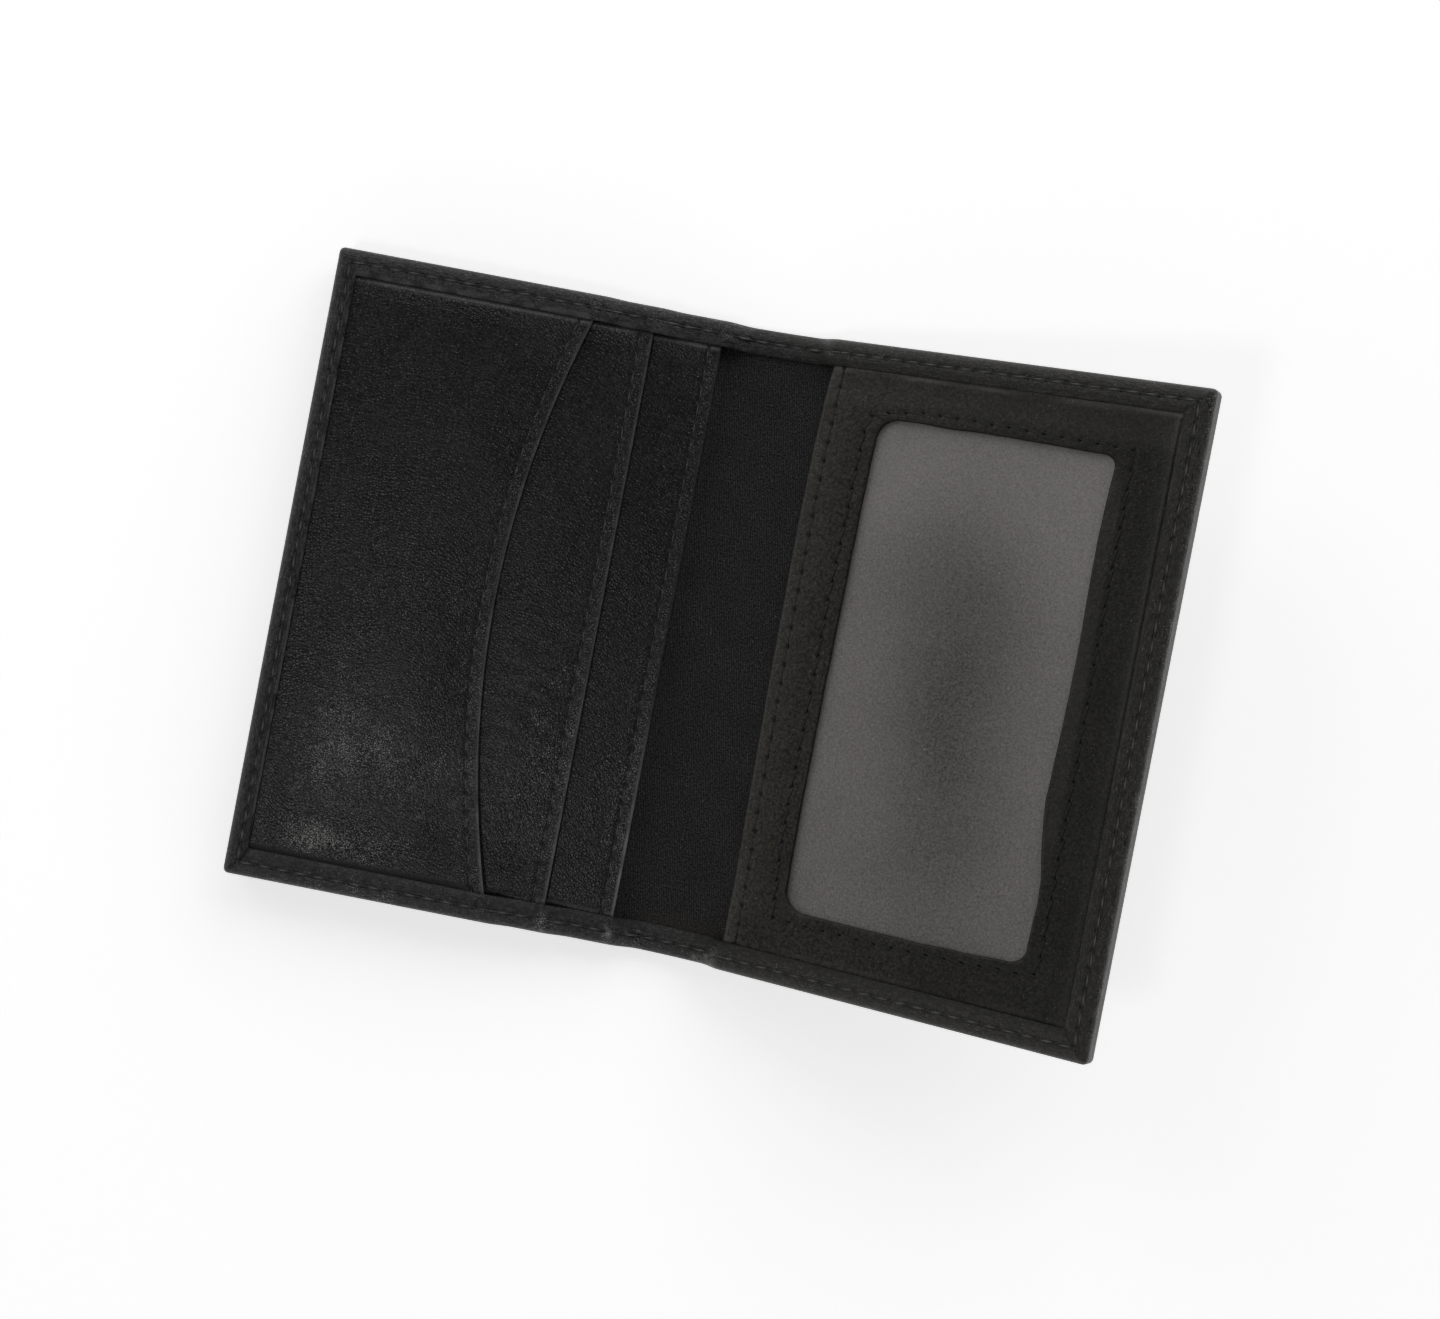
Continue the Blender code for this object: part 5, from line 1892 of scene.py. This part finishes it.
@dataclass
class Studio:
    """White paper, soft lights that face aim, and the camera of the photograph."""

    paper: Material
    aim: tuple[float, float, float] = (0.035, 0.0, 0.0)
    focal_pixels: float = 2450.0
    sensor: float = 36.0
    eye: tuple[float, float, float] = (51.1923 * MM, 3.3822 * MM, 396.5151 * MM)
    right: tuple[float, float, float] = (0.98161077, 0.18807749, -0.03266724)
    up: tuple[float, float, float] = (-0.1884586, 0.98204008, -0.00898009)
    back: tuple[float, float, float] = (0.03039159, 0.01497137, 0.99942594)

    def build(self) -> None:
        """Lays the paper, hangs the lights and sets the camera."""
        self.lay_paper()
        self.light("key_softbox", (0.55, 1.3, 0.72), size=1.4, power=9.2)
        self.light("fill_softbox", (-0.70, 0.60, 0.62), size=0.6, power=1.1)
        self.light("overhead_spot", (-0.17, -0.25, 0.75), size=0.12, power=0.48)
        self.sky()
        self.camera()

    def lay_paper(self) -> None:
        """The paper: a large flat sheet just under the holder."""
        form = bmesh.new()
        bmesh.ops.create_grid(form, x_segments=12, y_segments=12, size=3.0)
        mesh = bpy.data.meshes.new("seamless_paper")
        form.to_mesh(mesh)
        form.free()
        mesh.transform(Matrix.Translation((0.04, 0.0, -0.05 * MM)))
        mesh.materials.append(self.paper)
        shown("seamless_paper", mesh)

    def light(self, name: str, place: tuple[float, float, float], size: float, power: float) -> None:
        """Hangs a soft square light that faces the holder.

        Args:
            name: Its name.
            place: Where it hangs.
            size: How long its sides are.
            power: Its power in watts.
        """
        lamp = bpy.data.lights.new(name, "AREA")
        lamp.shape = "RECTANGLE"
        lamp.size = lamp.size_y = size
        lamp.energy = power
        obj = shown(name, lamp)
        obj.location = place
        towards = Vector(self.aim) - Vector(place)
        obj.rotation_euler = towards.to_track_quat("-Z", "Y").to_euler()

    def sky(self) -> None:
        """A studio room: bright walls low down and a dim ceiling."""
        world = bpy.data.worlds.new("studio")
        world.use_nodes = True
        tree = world.node_tree
        direction = add_node(tree, "ShaderNodeTexCoord").outputs["Generated"]
        height = add_node(tree, "ShaderNodeSeparateXYZ", {}, {0: direction}).outputs["Z"]
        ramp = add_node(tree, "ShaderNodeValToRGB", {}, {"Fac": height})
        stops = ((0.0, 1.0), (0.28, 0.75), (0.55, 0.12), (1.0, 0.03))
        elements = ramp.color_ramp.elements
        while len(elements) < len(stops):
            elements.new(0.5)
        for element, (position, value) in zip(elements, stops):
            element.position = position
            element.color = (value, value, value, 1.0)
        connect(tree, ramp, tree.nodes["Background"].inputs["Color"])
        bpy.context.scene.world = world

    def camera(self) -> None:
        """The camera, nearly overhead, turned as the photograph shows the holder."""
        data = bpy.data.cameras.new("camera")
        data.sensor_width = self.sensor
        data.lens = self.focal_pixels * self.sensor / IMAGE_WIDTH
        data.clip_start, data.clip_end = 0.01, 20.0
        obj = shown("camera", data)
        turn = Matrix((self.right, self.up, self.back)).transposed().to_4x4()
        obj.matrix_world = Matrix.Translation(self.eye) @ turn
        bpy.context.scene.camera = obj
        bpy.context.scene.view_settings.view_transform = "Standard"


def sew_all(cover: Cover, pockets: CardPockets, window: WindowPocket) -> None:
    """Sews every seam, and puts its stitches in place of their CAD nodes, the lip and window stitches on
    their bodies.

    Args:
        cover: The cover, which has the edge seam.
        pockets: The card pockets, with a seam along each lip.
        window: The window pocket, with a seam along its lip and one round the window.
    """
    # The pale ply of the edge and lip thread paints the glints on its stitches.
    dust_and_glint = StitchMaker(Thread("black_polyester_thread_painted_glint", ply="575655").material())
    black = StitchMaker(Thread("black_polyester_thread", ply="121212").material())
    edge = cover.seams()
    runs = (
        (
            "edge_stitches_left",
            Zone.LEFT,
            ("left_edge_stitches", "spine_stitch_top_1", "spine_stitch_bottom_1"),
        ),
        ("edge_stitches_spine_left", Zone.SPINE_LEFT, ("spine_stitch_top_2", "spine_stitch_bottom_2")),
        ("edge_stitches_spine_right", Zone.SPINE_RIGHT, ("spine_stitch_top_3", "spine_stitch_bottom_3")),
        ("edge_stitches_right", Zone.RIGHT, ("right_edge_stitches",)),
    )
    for seed, (name, zone, nodes) in enumerate(runs):
        settle(dust_and_glint.sew(name, edge[zone], seed), zone, "thread", *nodes)
    rear, middle, front = pockets.flaps
    threads = (
        ("rear_lip_thread", dust_and_glint, rear.holes(), "left_panel", "rear_lip_stitches"),
        ("middle_lip_thread", dust_and_glint, middle.holes(), "left_panel", "middle_lip_stitches"),
        ("front_lip_thread", dust_and_glint, front.holes(), "left_panel", "front_lip_stitches"),
        ("window_lip_thread", black, window.lip_holes(), "right_panel", "id_lip_stitches"),
        ("window_thread", black, window.window_holes(), "right_panel", "id_window_stitches"),
    )
    for seed, (name, maker, seam, body, node) in enumerate(threads, start=len(runs)):
        settle(maker.sew(name, [seam], seed), body, "thread", node)


def main() -> None:
    """Builds and dresses the holder, sub-assembly by sub-assembly."""
    logging.basicConfig(level=logging.INFO, format="%(name)s: %(message)s")
    turned = Hide("black_cowhide_turned_edge").material()
    # Calf for the pockets is finer and smoother, so that it keeps an even black with clearer lights.
    calf = Hide("black_calf_pressed_grain", face="1b1b1c", right_tone="1b1b1c", roughness=0.3).material()
    twill = Twill("black_rayon_twill").material()
    film = Vinyl("frosted_vinyl_film").material()
    # The window frame's calf has dried: duller and flatter. Its colour is paler and browner towards the
    # spine, and its darkening towards the right is painted shade.
    browned = Hide(
        "black_calf_window_frame",
        face="2c2a24",
        right_tone="1a1916",
        ages=(50 * MM, 100 * MM),
        gloss=0.33,
        relief=0.025 * MM,
    ).material()
    cover = Cover(turned)
    cover.build()
    Lining(twill).build()
    pockets = CardPockets(calf, twill)
    pockets.build()
    window = WindowPocket(browned, film)
    window.build()
    sew_all(cover, pockets, window)
    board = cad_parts["left_stiffener"].data.materials
    board.clear()
    board.append(Board("bonded_leather_board").material())
    Studio(Paper("white_seamless_paper").material()).build()


if __name__ == "__main__":
    main()
